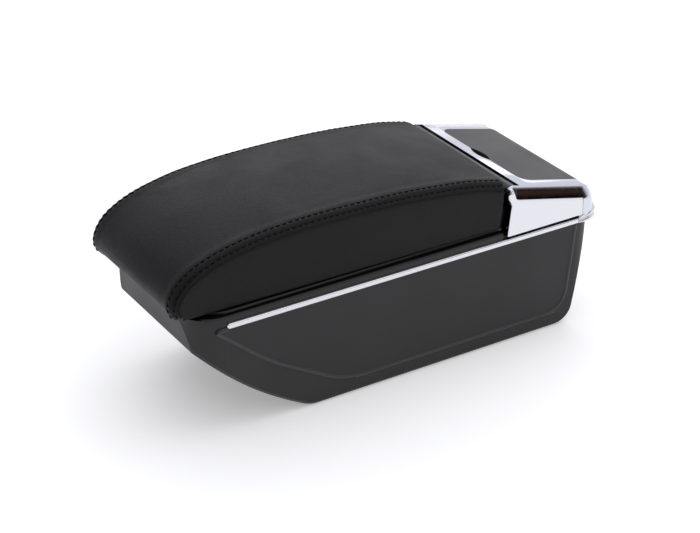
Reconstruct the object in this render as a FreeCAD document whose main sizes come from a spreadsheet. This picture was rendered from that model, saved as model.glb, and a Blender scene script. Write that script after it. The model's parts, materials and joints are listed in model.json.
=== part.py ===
"""Car centre armrest: a bowed storage box, a sliding padded lid and a bright tail."""
import FreeCAD, Part
import math
import os
import re
import Sketcher
from FreeCAD import Placement, Rotation, Vector

os.makedirs("parts", exist_ok=True)
doc = FreeCAD.newDocument("centre_armrest")

# X runs to the rear, Y to the left, Z up. The origin is the middle of the box
# that holds the armrest, at floor level. Sizes are in millimetres and degrees.
SIZES = {
    # box
    "shell_top": 90.5,
    "shell_front": -165.0,
    "shell_rear": 173.5,
    "shell_front_half": 66.0,
    "shell_rear_half": 68.0,
    "front_corner": 24.0,
    "rear_corner": 14.0,
    "side_draft": 1.7,
    "shell_wall": 3.0,
    "brow_drop": 23.0,
    "brow_set_back": 4.0,
    "bow_middle_x": -112.5,
    "bow_middle_z": 22.0,
    "bow_radius": 285.0,
    "toe_x": -72.0,
    "toe_radius": 24.0,
    "heel_run": 14.5,
    "heel_radius": 16.0,
    "panel_rise": 0.8,
    "shell_bevel": 2.2,
    "panel_front_gap": 17.0,
    "panel_rear_gap": 17.0,
    "panel_bottom_z": 14.0,
    "panel_knee_x": -106.3,
    "panel_knee_z": 49.4,
    "panel_bow_radius": 200.0,
    "panel_toe_x": -45.1,
    "panel_toe_radius": 75.0,
    "panel_heel_gap": 8.5,
    "panel_heel_radius": 20.0,
    # bright strip and bumper
    "strip_rise": 1.8,
    "strip_height": 4.2,
    "strip_front": -140.0,
    "bumper_arm": 15.5,
    "bumper_thick": 8.0,
    "bumper_under": 10.5,
    "bumper_over": 2.5,
    "bumper_side": 0.4,
    "bumper_bevel": 1.6,
    "bumper_groove": 1.2,
    "groove_bevel": 0.7,
    "groove_height": 1.6,
    "strip_round": 1.6,
    # rim and storage opening
    "rim_height": 5.0,
    "rim_short": 0.6,
    "rim_width": 9.0,
    "rim_nose": 15.0,
    "opening_rear": 24.0,
    "opening_corner": 12.0,
    "ledge_width": 3.0,
    "ledge_height": 1.5,
    "well_floor": 2.3,
    "well_side": 3.0,
    "well_rear": 4.0,
    "rim_edge": 1.0,
    # inside the box
    "mat_thick": 1.5,
    "mat_side_gap": 5.9,
    "mat_front": -62.0,
    "bolt_hole": 5.5,
    "bolt_boss": 13.0,
    "bolt_boss_height": 5.0,
    "bolt_middle_x": -20.0,
    "bolt_spread_x": 64.0,
    "bolt_spread_y": 80.0,
    "tray_front": -48.0,
    "tray_depth": 24.0,
    "tray_wall": 1.6,
    "tray_flange": 1.2,
    "partition_thick": 2.4,
    "partition_gap": 1.4,
    "partition_foot": 14.0,
    # lid pan
    "pan_thick": 2.0,
    "pan_inset": 3.0,
    "pan_nose": 7.0,
    "pan_over": 0.8,
    "buffer_thick": 0.5,
    "buffer_radius": 2.5,
    "buffer_inset": 20.0,
    "buffer_rear": 14.0,
    "skirt_height": 2.0,
    "skirt_wall": 1.6,
    "skirt_gap": 0.8,
    "skirt_front_gap": 1.5,
    "wall_lean": 2.8,
    "wall_thick": 2.8,
    "wall_side_gap": 3.1,
    "track_y": 34.0,
    "track_width": 7.0,
    "track_short": 33.4,
    "slide_travel": 60.0,
    "shoe_length": 20.0,
    "shoe_foot_width": 14.0,
    "shoe_foot_thick": 2.0,
    "track_stop": 0.5,
    "shoe_spacing": 104.0,
    "shoe_screw_radius": 1.5,
    "shoe_screw_head": 2.6,
    "shoe_head_thick": 1.4,
    # hinge
    "hinge_set_back": 8.3,
    "hinge_height": 33.8,
    "barrel_radius": 6.0,
    "knuckle_length": 15.8,
    "ear_width": 4.0,
    "rod_radius": 1.5,
    "rod_cover": 1.6,
    "ear_radius": 6.2,
    # pad
    "pad_gap": 0.5,
    "nose_over": 16.5,
    "nose_height": 13.5,
    "peak_x": -60.0,
    "pad_height": 52.7,
    "tail_over": 2.4,
    "tail_height": 37.1,
    "tail_lean": 3.4,
    "nose_fullness": 2.3,
    "tail_fullness": 3.3,
    "nose_inset": 3.0,
    "tail_inset": 1.2,
    "shoulder": 10.0,
    "nose_lift": 7.0,
    "leather_thick": 1.6,
    "board_thick": 3.0,
    "board_nose": 18.5,
    "board_side": 1.0,
    "board_corner": 8.0,
    "hem_width": 14.0,
    # tail
    "tail_length": 82.9,
    "deck_thick": 1.8,
    "deck_recess": 1.2,
    "cap_set_back": 15.5,
    "cap_height": 38.3,
    "cap_slope": 13.5,
    "cap_corner_over": 1.0,
    "cap_foot_over": 3.8,
    "cap_corner": 16.0,
    "cap_wall": 3.0,
    "cap_inset": 0.8,
    "cap_edge": 1.6,
    "cheek_inset": 0.6,
    "cheek_thick": 4.0,
    "cheek_set_back": 2.6,
    "cheek_lean": 2.8,
    "cheek_short": 11.5,
    "cheek_shoulder": 3.4,
    "bead_width": 2.2,
    "bead_rise": 0.6,
    "housing_wall": 2.6,
    "screw_radius": 1.5,
    "screw_head": 3.0,
    "screw_head_thick": 1.8,
    # ashtray
    "frame_front": 10.0,
    "frame_side": 13.2,
    "ash_corner": 9.0,
    "lid_thick": 2.6,
    "roll_angle": 33.0,
    "roll_radius": 2.8,
    "lip_drop": 1.6,
    "pin_radius": 1.0,
    "pin_bite": 3.6,
    "notch_chord": 25.0,
    "notch_depth": 3.5,
    "bin_front_gap": 2.9,
    "bin_rear_gap": 4.0,
    "bin_side_gap": 3.4,
    "bin_height": 19.5,
    "bin_wall": 1.5,
    "bin_corner": 6.0,
    # clearances
    "fit_gap": 0.3,
    "seat_gap": 0.1,
    "run_gap": 0.05,
    "split_gap": 0.4,
}

# Values worked out from the sizes, in the same sheet
DERIVED = {
    "shell_slope": "(shell_rear_half - shell_front_half) / (shell_rear - shell_front)",
    "floor_lean": "shell_top * tan(side_draft)",
    "heel_x": "shell_rear - heel_run",
    "panel_front_x": "shell_front + panel_front_gap",
    "panel_rear_x": "shell_rear - panel_rear_gap",
    "panel_heel_x": "heel_x - panel_heel_gap",
    "strip_rear": "shell_rear - bumper_arm",
    "bumper_reach": "shell_rear + bumper_thick",
    "bumper_low": "shell_top - bumper_under",
    "bumper_top": "shell_top + bumper_over",
    "deck_front": "shell_rear - tail_length",
    "rim_rear": "deck_front - rim_short",
    "opening_half": "shell_front_half - rim_width",
    "opening_front": "shell_front + rim_nose",
    "mat_wall": "shell_front_half + shell_slope * (mat_front - shell_front) - shell_wall",
    "mat_half": "mat_wall - floor_lean - mat_side_gap",
    "hinge_x": "deck_front + hinge_set_back",
    "hinge_z": "shell_top + hinge_height",
    "cheek_half": "shell_rear_half - cheek_inset",
    "cheek_front": "deck_front + cheek_set_back",
    "cheek_rear": "shell_rear - cheek_short",
    "cap_half": "cheek_half - cap_inset",
    "cap_front": "deck_front + cap_set_back",
    "cap_front_z": "shell_top + cap_height",
    "cap_corner_x": "shell_rear + cap_corner_over",
    "cap_foot_x": "shell_rear + cap_foot_over",
    "ear_inner": "cap_half - ear_width",
    "knuckle_end": "ear_inner - split_gap",
    "barrel_half": "knuckle_end - knuckle_length - split_gap",
    "rod_half": "cap_half - rod_cover",
    "ash_front": "cap_front + frame_front",
    "ash_half": "cap_half - frame_side",
    "pin_half": "ash_half + pin_bite",
    "bin_front": "ash_front + bin_front_gap",
    "bin_rear": "cheek_rear - bin_rear_gap",
    "bin_half": "ash_half - bin_side_gap",
    "bin_top": "shell_top + bin_height",
    "strip_low": "shell_top - strip_height",
    "rim_top": "shell_top + rim_height",
    "ledge_z": "shell_top + ledge_height",
    "well_z": "shell_top + well_floor",
    "groove_low": "(bumper_low + bumper_top - groove_height) / 2",
    "bumper_half": "shell_rear_half + strip_rise + bumper_side",
    "partition_x": "opening_rear + fit_gap",
    "partition_wall": "shell_front_half + shell_slope * (partition_x - shell_front) - shell_wall",
    "partition_half": "partition_wall - floor_lean - partition_gap",
    "tray_rear": "opening_rear - ledge_width - fit_gap",
    "tray_half": "opening_half - ledge_width - fit_gap",
    "pan_low": "rim_top + buffer_thick",
    "pan_top": "pan_low + pan_thick",
    "pan_half": "shell_front_half - pan_inset",
    "pan_front": "shell_front + pan_nose",
    "pan_rear": "deck_front + pan_over",
    "track_rear": "pan_rear - track_short",
    "pad_bottom": "pan_top + pad_gap",
    "nose_x": "shell_front - nose_over",
    "nose_z": "pad_bottom + nose_height",
    "peak_z": "pad_bottom + pad_height",
    "tail_x": "deck_front + tail_over",
    "tail_z": "pad_bottom + tail_height",
    "nose_half": "shell_front_half - nose_inset",
    "tail_half": "shell_rear_half - tail_inset",
    "board_front": "nose_x + board_nose",
    "wall_top": "hinge_z - 2 * barrel_radius",
    "track_length": "slide_travel + shoe_length + 2 * track_stop",
    "shoe_low": "pan_low - fit_gap - shoe_foot_thick",
    "skin_low": "pad_bottom + leather_thick",
    "board_top": "skin_low + board_thick",
    "rear_slope": "tail_lean / (tail_z - pad_bottom)",
    "deck_top": "shell_top + deck_thick",
    "housing_half": "cheek_half - cheek_thick - seat_gap",
    "wall_half": "housing_half - wall_side_gap",
    "housing_front": "cap_front - split_gap",
    "notch_z": "hinge_z - ear_radius - split_gap",
    "side_front": "cheek_rear + split_gap",
    "cap_tan": "tan(cap_slope)",
    "corner_z": "cap_front_z - cap_tan * (cap_corner_x - cap_front)",
    "cap_lean": "(cap_foot_x - cap_corner_x) / (corner_z - bumper_top)",
    "cap_square": "sqrt(1 + cap_lean * cap_lean)",
    "round_run": "cap_corner_x + cap_lean * corner_z - cap_corner * cap_square",
    "round_rise": "cap_front_z + cap_tan * cap_front - cap_corner / cos(cap_slope)",
    "round_z": "(round_rise - cap_tan * round_run) / (1 - cap_tan * cap_lean)",
    "round_x": "round_run - cap_lean * round_z",
    "pin_x": "round_x + (cap_corner - roll_radius) * cos(roll_angle)",
    "pin_z": "round_z + (cap_corner - roll_radius) * sin(roll_angle)",
    "flap_front": "ash_front + split_gap",
    "flap_half": "ash_half - fit_gap",
    "notch_radius": "(notch_chord * notch_chord / 4 + notch_depth * notch_depth) / (2 * notch_depth)",
}

sheet = doc.addObject("Spreadsheet::Sheet", "Sizes")


def add_values(values, start, lead=""):
    for row, (alias, value) in enumerate(values.items(), start=start):
        sheet.set("A%d" % row, alias)
        sheet.set("B%d" % row, lead + str(value))
        sheet.setAlias("B%d" % row, alias)
    doc.recompute()


add_values(SIZES, 1)
add_values(DERIVED, len(SIZES) + 1, "=")
NAMES = set(SIZES) | set(DERIVED)

WORD = re.compile(r"[a-z_]+")


def bound(text):
    """Expression text with every size name pointing at the sheet."""
    return WORD.sub(lambda found: "Sizes." + found.group() if found.group() in NAMES else found.group(), str(text))


def number(text):
    """Value of an expression now."""
    return float(sheet.evalExpression(bound(text)))


def origin_plane(body, role):
    return [plane for plane in body.Origin.OriginFeatures if plane.Role == role][0]


def new_sketch(body, name, role, offset="0"):
    """Empty sketch on one of the body's own planes, moved along its normal."""
    sketch = body.newObject("Sketcher::SketchObject", name)
    sketch.AttachmentSupport = [(origin_plane(body, role), "")]
    sketch.MapMode = "FlatFace"
    sketch.setExpression("AttachmentOffset.Base.z", bound(offset))
    return sketch


def pin_point(sketch, shape, end, across, up):
    """Holds one point of a sketch at a place given by two expressions."""
    for kind, text in (("DistanceX", across), ("DistanceY", up)):
        index = sketch.addConstraint(Sketcher.Constraint(kind, -1, 1, shape, end, number(text)))
        sketch.setExpression("Constraints[%d]" % index, bound(text))


def draw_outline(sketch, corners):
    """Closed outline of straight runs. A corner is (across, up) or (across, up, radius)."""
    points = [Vector(number(c[0]), number(c[1]), 0) for c in corners]
    count = len(corners)
    entries, exits, arcs = [], [], []
    for i in range(count):
        before = (points[i] - points[i - 1]).normalize()
        after = (points[(i + 1) % count] - points[i]).normalize()
        if len(corners[i]) == 2:
            entries.append(points[i])
            exits.append(points[i])
            arcs.append(None)
            continue
        radius = number(corners[i][2])
        turn = math.acos(max(-1, min(1, before.dot(after))))
        reach = radius * math.tan(turn / 2)
        entries.append(points[i] - before * reach)
        exits.append(points[i] + after * reach)
        left = before.cross(after).z > 0
        side = Vector(-before.y, before.x, 0) * (1 if left else -1)
        centre = entries[i] + side * radius
        first, last = (entries[i], exits[i]) if left else (exits[i], entries[i])
        start = math.atan2(first.y - centre.y, first.x - centre.x)
        stop = math.atan2(last.y - centre.y, last.x - centre.x)
        arcs.append((Part.ArcOfCircle(Part.Circle(centre, Vector(0, 0, 1), radius), start, stop), left))
    lines = [
        sketch.addGeometry(Part.LineSegment(exits[i], entries[(i + 1) % count]))
        for i in range(count)
    ]
    for i in range(count):
        before, after = lines[i - 1], lines[i]
        if arcs[i] is None:
            sketch.addConstraint(Sketcher.Constraint("Coincident", before, 2, after, 1))
            pin_point(sketch, after, 1, corners[i][0], corners[i][1])
            continue
        curve, left = arcs[i]
        arc = sketch.addGeometry(curve)
        meet, leave = (1, 2) if left else (2, 1)
        sketch.addConstraint(Sketcher.Constraint("Tangent", before, 2, arc, meet))
        sketch.addConstraint(Sketcher.Constraint("Tangent", arc, leave, after, 1))
        index = sketch.addConstraint(Sketcher.Constraint("Radius", arc, curve.Radius))
        sketch.setExpression("Constraints[%d]" % index, bound(corners[i][2]))
        corner = sketch.addGeometry(Part.Point(points[i]), True)
        sketch.addConstraint(Sketcher.Constraint("PointOnObject", corner, 1, before))
        sketch.addConstraint(Sketcher.Constraint("PointOnObject", corner, 1, after))
        pin_point(sketch, corner, 1, corners[i][0], corners[i][1])


def draw_circle(sketch, across, up, radius):
    circle = sketch.addGeometry(Part.Circle(Vector(number(across), number(up), 0), Vector(0, 0, 1), number(radius)))
    pin_point(sketch, circle, 3, across, up)
    index = sketch.addConstraint(Sketcher.Constraint("Radius", circle, number(radius)))
    sketch.setExpression("Constraints[%d]" % index, bound(radius))


def draw_box(sketch, low_x, low_y, high_x, high_y, radius=None):
    extra = () if radius is None else (radius,)
    draw_outline(sketch, [
        (low_x, low_y) + extra,
        (high_x, low_y) + extra,
        (high_x, high_y) + extra,
        (low_x, high_y) + extra,
    ])


def new_body(label):
    body = doc.addObject("PartDesign::Body", label)
    body.Label = label
    return body


def pad(body, sketch, length, both=False, back=False, taper=None):
    """Adds the sketch's area, along its normal or evenly to both sides."""
    feature = body.newObject("PartDesign::Pad", sketch.Name + "_pad")
    feature.Profile = sketch
    feature.SideType = "Symmetric" if both else "One side"
    feature.Reversed = back
    feature.setExpression("Length", bound(length))
    if taper is not None:
        feature.setExpression("TaperAngle", bound(taper))
    body.Tip = feature
    doc.recompute()
    return feature


def pocket(body, sketch, length=None, back=False):
    """Cuts the sketch's area, right through both ways or to a depth one way."""
    feature = body.newObject("PartDesign::Pocket", sketch.Name + "_cut")
    feature.Profile = sketch
    if length is None:
        feature.SideType = "Symmetric"
        feature.Type = "ThroughAll"
    else:
        feature.SideType = "One side"
        feature.Reversed = back
        feature.setExpression("Length", bound(length))
    before = body.Shape.Volume if body.Shape and not body.Shape.isNull() else 0
    body.Tip = feature
    doc.recompute()
    if not feature.Shape.Volume < before:
        raise RuntimeError(feature.Name + " cuts nothing")
    return feature


def soften_edges(body, name, size, chosen, kind="Fillet"):
    """Rounds or bevels the edges of the finished body that the test picks."""
    base = body.Tip
    edges = ["Edge%d" % (i + 1) for i, edge in enumerate(base.Shape.Edges) if chosen(edge)]
    if not edges:
        raise RuntimeError(name + " finds no edge")
    feature = body.newObject("PartDesign::" + kind, name)
    feature.Base = (base, edges)
    feature.setExpression("Radius" if kind == "Fillet" else "Size", bound(size))
    body.Tip = feature
    doc.recompute()
    return feature


def middle(edge):
    return edge.valueAt((edge.FirstParameter + edge.LastParameter) / 2)


def direction(edge):
    return edge.tangentAt((edge.FirstParameter + edge.LastParameter) / 2)


# Box shell

def shell_plan(sketch, grow, front="shell_front", rear="shell_rear"):
    """Plan outline of the box top, wider towards the rear, grown by an offset."""
    front_half = f"(shell_front_half + {grow} + ({front} - shell_front) * shell_slope)"
    rear_half = f"(shell_rear_half + {grow} + ({rear} - shell_rear) * shell_slope)"
    low = f"{front} - ({grow})" if front == "shell_front" else front
    high = f"{rear} + {grow}" if rear == "shell_rear" else rear
    round_front = (f"front_corner + {grow}",) if front == "shell_front" else ()
    round_rear = (f"rear_corner + {grow}",) if rear == "shell_rear" else ()
    draw_outline(sketch, [
        (low, f"-{front_half}") + round_front,
        (high, f"-{rear_half}") + round_rear,
        (high, rear_half) + round_rear,
        (low, front_half) + round_front,
    ])


def shell_solid(label, inset):
    """Drafted block cut to the bowed side profile, smaller all round by the inset."""
    body = new_body(label)
    plan = new_sketch(body, label + "_plan", "XY_Plane", "shell_top")
    shell_plan(plan, f"-{inset}")
    pad(body, plan, "shell_top + 1", back=True, taper="-side_draft")
    side = new_sketch(body, label + "_side", "XZ_Plane")
    top = "shell_top + 1"
    draw_box(side, "shell_front - 40", "-40", "shell_rear + 40", "shell_top + 40")
    draw_outline(side, [
        (f"shell_front + {inset} - 0.17", top),
        (f"shell_front + brow_set_back + {inset}", "shell_top - brow_drop"),
        (f"bow_middle_x + {inset} * 0.7", f"bow_middle_z + {inset} * 0.7", "bow_radius"),
        ("toe_x", f"{inset}", "toe_radius"),
        (f"heel_x - {inset}", f"{inset}", f"heel_radius - {inset}"),
        (f"shell_rear - {inset} + 0.16", top),
    ])
    pocket(body, side)
    return body


outer = shell_solid("shell_outer", "0")


def low_side_edge(edge):
    """Long lower edges, from the brow round the bow to the heel."""
    spot = middle(edge)
    along = direction(edge)
    return abs(along.y) < 0.2 and abs(spot.y) > 50 and spot.z < number("shell_top") - 12


soften_edges(outer, "shell_soft_edges", "shell_bevel", low_side_edge, "Chamfer")

# Base shell: outer skin, raised side panels, hollow, bosses and bolt holes

panel = shell_solid("shell_panel", "(-panel_rise)")
panel_side = new_sketch(panel, "panel_outline", "XZ_Plane")
draw_box(panel_side, "shell_front - 40", "-40", "shell_rear + 40", "shell_top + 40")
draw_outline(panel_side, [
    ("panel_front_x", "strip_low - fit_gap"),
    ("panel_knee_x", "panel_knee_z", "panel_bow_radius"),
    ("panel_toe_x", "panel_bottom_z", "panel_toe_radius"),
    ("panel_heel_x", "panel_bottom_z", "panel_heel_radius"),
    ("panel_rear_x", "strip_low - fit_gap"),
])
pocket(panel, panel_side)

base_shell = outer
base_shell.Label = "base_shell"


def combine(body, name, kind, tool):
    """Joins another body to this one or cuts it away."""
    feature = body.newObject("PartDesign::Boolean", name)
    feature.Type = kind
    feature.setObjects([tool])
    body.Tip = feature
    doc.recompute()
    return feature


combine(base_shell, "side_panels", "Fuse", panel)
combine(base_shell, "hollow", "Cut", shell_solid("shell_inner", "shell_wall"))

BOLT_PLACES = [
    (f"bolt_middle_x {x_sign} bolt_spread_x / 2", f"{y_sign} bolt_spread_y / 2")
    for x_sign in ("-", "+")
    for y_sign in ("-1 *", "1 *")
]


def bolt_circles(body, name, offset, radius):
    sketch = new_sketch(body, name, "XY_Plane", offset)
    for across, up in BOLT_PLACES:
        draw_circle(sketch, across, up, radius)
    return sketch


pad(base_shell, bolt_circles(base_shell, "bolt_bosses", "shell_wall - 1", "bolt_boss / 2"), "bolt_boss_height + 1")
pocket(base_shell, bolt_circles(base_shell, "bolt_holes", "0", "bolt_hole / 2"))

# Bright strip round the box, and the double bead at its tail


def strip(side, sign):
    """Bright strip along one side, rounded on its outer edges."""
    body = new_body("trim_strip_" + side)
    plan = new_sketch(body, f"strip_{side}_plan", "XY_Plane", "strip_low")
    ends = ("strip_front", "strip_rear - seat_gap")
    inner = [f"(shell_rear_half + ({end} - shell_rear) * shell_slope)" for end in ends]
    draw_outline(plan, [
        (ends[0], f"{sign}{inner[0]}"),
        (ends[0], f"{sign}({inner[0]} + strip_rise)"),
        (ends[1], f"{sign}({inner[1]} + strip_rise)"),
        (ends[1], f"{sign}{inner[1]}"),
    ])
    pad(body, plan, "strip_height")
    half, rear, slope = number("shell_rear_half + strip_rise"), number("shell_rear"), number("shell_slope")

    def long_edge(edge):
        spot = middle(edge)
        return abs(direction(edge).x) > 0.9 and abs(abs(spot.y) - half - (spot.x - rear) * slope) < 0.1

    soften_edges(body, f"strip_{side}_soft", "strip_round", long_edge)
    return body


trim_strip_left = strip("left", "")
trim_strip_right = strip("right", "-")

rear_bumper = new_body("rear_bumper")


def bumper_band(name, low, high, inward):
    """One layer of the band round the tail, its outside set inward by a distance."""
    sketch = new_sketch(rear_bumper, name, "XY_Plane", low)
    half = f"(bumper_half - {inward})"
    inner = "(shell_rear_half + seat_gap)"
    outer_round = f"rear_corner + strip_rise + bumper_side - {inward}"
    draw_outline(sketch, [
        ("strip_rear", f"-{half}"),
        (f"bumper_reach - {inward}", f"-{half}", outer_round),
        (f"bumper_reach - {inward}", half, outer_round),
        ("strip_rear", half),
        ("strip_rear", inner),
        ("shell_rear + seat_gap", inner, "rear_corner"),
        ("shell_rear + seat_gap", f"-{inner}", "rear_corner"),
        ("strip_rear", f"-{inner}"),
    ])
    pad(rear_bumper, sketch, f"{high} - ({low})")


bumper_band("bumper_low_lobe", "bumper_low", "groove_low", "0")
bumper_band("bumper_groove_band", "groove_low", "groove_low + groove_height", "bumper_groove")
bumper_band("bumper_high_lobe", "groove_low + groove_height", "bumper_top", "0")


def lobe_edges(levels):
    """Test for the long outer edges of the bumper at given heights."""
    reach = number("rear_corner + strip_rise + bumper_side")
    half = number("bumper_half")
    rear = number("bumper_reach")

    def chosen(edge):
        spot = middle(edge)
        corner = math.hypot(spot.x - rear + reach, abs(spot.y) - half + reach)
        at_reach = abs(abs(spot.y) - half) < 0.01 or abs(spot.x - rear) < 0.01 or abs(corner - reach) < 0.01
        level = min(abs(spot.z - number(z)) for z in levels) < 0.01
        return at_reach and level and edge.Length > 5

    return chosen


lobe_ends = lobe_edges(["bumper_low", "bumper_top"])
soften_edges(rear_bumper, "bumper_lobes_soft", "bumper_bevel", lobe_ends, "Chamfer")
groove_edges = lobe_edges(["groove_low", "groove_low + groove_height"])
soften_edges(rear_bumper, "bumper_groove_soft", "groove_bevel", groove_edges, "Chamfer")

# Rim frame


rim_frame = new_body("rim_frame")
rim_plan = new_sketch(rim_frame, "rim_plan", "XY_Plane", "shell_top")
shell_plan(rim_plan, "0", rear="rim_rear")
pad(rim_frame, rim_plan, "rim_height")
rim_opening = new_sketch(rim_frame, "rim_opening", "XY_Plane", "shell_top")
draw_box(
    rim_opening, "opening_front + ledge_width", "-opening_half + ledge_width",
    "opening_rear - ledge_width", "opening_half - ledge_width", "opening_corner - ledge_width",
)
pocket(rim_frame, rim_opening)
rim_step = new_sketch(rim_frame, "rim_step", "XY_Plane", "shell_top + ledge_height")
draw_box(rim_step, "opening_front", "-opening_half", "opening_rear", "opening_half", "opening_corner")
pocket(rim_frame, rim_step, "rim_height", back=True)
rim_well = new_sketch(rim_frame, "rim_well", "XY_Plane", "well_z")
draw_box(rim_well, "opening_rear - 1", "-opening_half - well_side", "rim_rear - well_rear",
         "opening_half + well_side", "4")
pocket(rim_frame, rim_well, "rim_height", back=True)


def rim_outer_edge(edge):
    spot = middle(edge)
    outside = abs(spot.y) > number("opening_half + well_side") + 2 or spot.x < number("opening_front") - 6
    return abs(spot.z - number("rim_top")) < 0.01 and outside


soften_edges(rim_frame, "rim_soft_edge", "rim_edge", rim_outer_edge, "Chamfer")

# Inside the box

storage_mat = new_body("storage_mat")
mat_plan = new_sketch(storage_mat, "mat_plan", "XY_Plane", "shell_wall")
draw_box(mat_plan, "mat_front", "-mat_half", "opening_rear", "mat_half")
pad(storage_mat, mat_plan, "mat_thick")
pocket(storage_mat, bolt_circles(storage_mat, "mat_holes", "0", "bolt_boss / 2 + fit_gap"))

rear_partition = new_body("rear_partition")
partition_side = new_sketch(rear_partition, "partition_side", "XZ_Plane")
draw_outline(partition_side, [
    ("partition_x", "shell_wall"),
    ("partition_x + partition_foot", "shell_wall"),
    ("partition_x + partition_foot", "shell_wall + partition_thick"),
    ("partition_x + partition_thick", "shell_wall + partition_thick", "4"),
    ("partition_x + partition_thick", "shell_top - seat_gap"),
    ("partition_x", "shell_top - seat_gap"),
])
pad(rear_partition, partition_side, "2 * partition_half", both=True)

coin_tray = new_body("coin_tray")
tray_plan = new_sketch(coin_tray, "tray_plan", "XY_Plane", "ledge_z + tray_flange - tray_depth")
draw_box(tray_plan, "tray_front + ledge_width", "-tray_half", "tray_rear", "tray_half", "opening_corner - ledge_width")
pad(coin_tray, tray_plan, "tray_depth")
flange_plan = new_sketch(coin_tray, "tray_flange_plan", "XY_Plane", "ledge_z")
draw_box(flange_plan, "tray_front", "-opening_half + fit_gap", "opening_rear - fit_gap", "opening_half - fit_gap",
         "opening_corner")
pad(coin_tray, flange_plan, "tray_flange")
tray_inside = new_sketch(coin_tray, "tray_inside", "XY_Plane", "ledge_z + tray_flange")
draw_box(
    tray_inside, "tray_front + ledge_width + tray_wall", "-tray_half + tray_wall",
    "tray_rear - tray_wall", "tray_half - tray_wall", "opening_corner - ledge_width - tray_wall",
)
pocket(coin_tray, tray_inside, "tray_depth - tray_wall")

# Tail cap: one moulding, sloping frame on top, rounded over to the rear face


def cap_line(across, drop="0"):
    """Height of the tail's sloping top, less a square-on distance."""
    return f"(cap_front_z - cap_tan * ({across} - cap_front) - ({drop}) / cos(cap_slope))"


def inset_corner(distance):
    """Where the top and the rear face meet, both moved inwards by a distance."""
    rise = cap_line("0", distance)
    run = f"(cap_corner_x + cap_lean * corner_z - ({distance}) * cap_square)"
    up = f"(({rise} - cap_tan * {run}) / (1 - cap_tan * cap_lean))"
    return f"({run} - cap_lean * {up})", up


def rear_line(up, distance):
    """X of the rear face at a height, moved inwards by a distance."""
    return f"(cap_corner_x + cap_lean * (corner_z - ({up})) - ({distance}) * cap_square)"


inner_x, inner_z = inset_corner("cap_wall")
tail_cap = new_body("tail_cap")
cap_side = new_sketch(tail_cap, "cap_side", "XZ_Plane")
draw_outline(cap_side, [
    ("cap_front", cap_line("cap_front", "cap_wall")),
    ("side_front", cap_line("side_front", "cap_wall")),
    ("side_front", "bumper_top"),
    ("cap_foot_x", "bumper_top"),
    ("cap_corner_x", "corner_z", "cap_corner"),
    ("cap_front", "cap_front_z"),
])
pad(tail_cap, cap_side, "2 * cap_half", both=True)


def cap_outer_edge(edge):
    """Edges where the top and rear face meet the sides."""
    spot = middle(edge)
    on_side = abs(abs(spot.y) - number("cap_half")) < 0.01
    above = spot.z - number(cap_line(str(spot.x)))
    on_top = abs(above) < 0.05 and spot.x > number("cap_front")
    off_x = spot.x - number("round_x")
    off_z = spot.z - number("round_z")
    on_round = abs(math.hypot(off_x, off_z) - number("cap_corner")) < 0.05 and off_x > 0
    on_rear = abs(spot.x - number(rear_line(str(spot.z), "0"))) < 0.05
    return on_side and (on_top or on_round or on_rear) and abs(direction(edge).y) < 0.1


soften_edges(tail_cap, "cap_soft_edges", "cap_edge", cap_outer_edge, "Chamfer")

cap_room = new_sketch(tail_cap, "cap_room", "XZ_Plane", "-cap_half + cap_wall")
draw_outline(cap_room, [
    ("side_front - 5", "bumper_top - 5"),
    (rear_line("bumper_top - 5", "cap_wall"), "bumper_top - 5"),
    (inner_x, inner_z, "cap_corner - cap_wall"),
    ("side_front - 5", cap_line("side_front - 5", "cap_wall")),
])
pocket(tail_cap, cap_room, "2 * (cap_half - cap_wall)", back=True)

for side, plane_y in (("right", "ear_inner"), ("left", "-cap_half")):
    ear = new_sketch(tail_cap, "ear_disc_" + side, "XZ_Plane", plane_y)
    draw_circle(ear, "hinge_x", "hinge_z", "ear_radius")
    pad(tail_cap, ear, "cap_half - ear_inner")
    neck = new_sketch(tail_cap, "ear_neck_" + side, "XZ_Plane", plane_y)
    draw_outline(neck, [
        ("hinge_x + ear_radius * 0.5", "hinge_z - ear_radius * 0.8"),
        ("cap_front + 4", cap_line("cap_front + 4", "cap_wall")),
        ("cap_front + 4", cap_line("cap_front + 4")),
        ("hinge_x", "hinge_z + ear_radius * 0.98"),
    ])
    pad(tail_cap, neck, "cap_half - ear_inner")

for side, plane_y in (("right", "ear_inner"), ("left", "-rod_half - fit_gap")):
    seat = new_sketch(tail_cap, "rod_seat_" + side, "XZ_Plane", plane_y)
    draw_circle(seat, "hinge_x", "hinge_z", "rod_radius + run_gap")
    pocket(tail_cap, seat, "rod_half + fit_gap - ear_inner", back=True)

ash_opening = new_sketch(tail_cap, "ash_opening", "XY_Plane")
draw_outline(ash_opening, [
    ("ash_front", "-ash_half", "ash_corner"),
    ("pin_x", "-ash_half"),
    ("pin_x", "ash_half"),
    ("ash_front", "ash_half", "ash_corner"),
])
pocket(tail_cap, ash_opening)
roll_groove = new_sketch(tail_cap, "roll_groove", "XZ_Plane", "-ash_half")
draw_circle(roll_groove, "pin_x", "pin_z", "roll_radius + fit_gap")
pocket(tail_cap, roll_groove, "2 * ash_half", back=True)
lip_cut = new_sketch(tail_cap, "lip_cut", "XZ_Plane", "-ash_half")
draw_box(lip_cut, "pin_x - 1", "pin_z - lip_drop", "cap_foot_x + 10", "cap_front_z")
pocket(tail_cap, lip_cut, "2 * ash_half", back=True)
finger_notch = new_sketch(tail_cap, "finger_notch", "XY_Plane")
draw_circle(finger_notch, "ash_front - notch_depth + notch_radius", "0", "notch_radius")
pocket(tail_cap, finger_notch)
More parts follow.
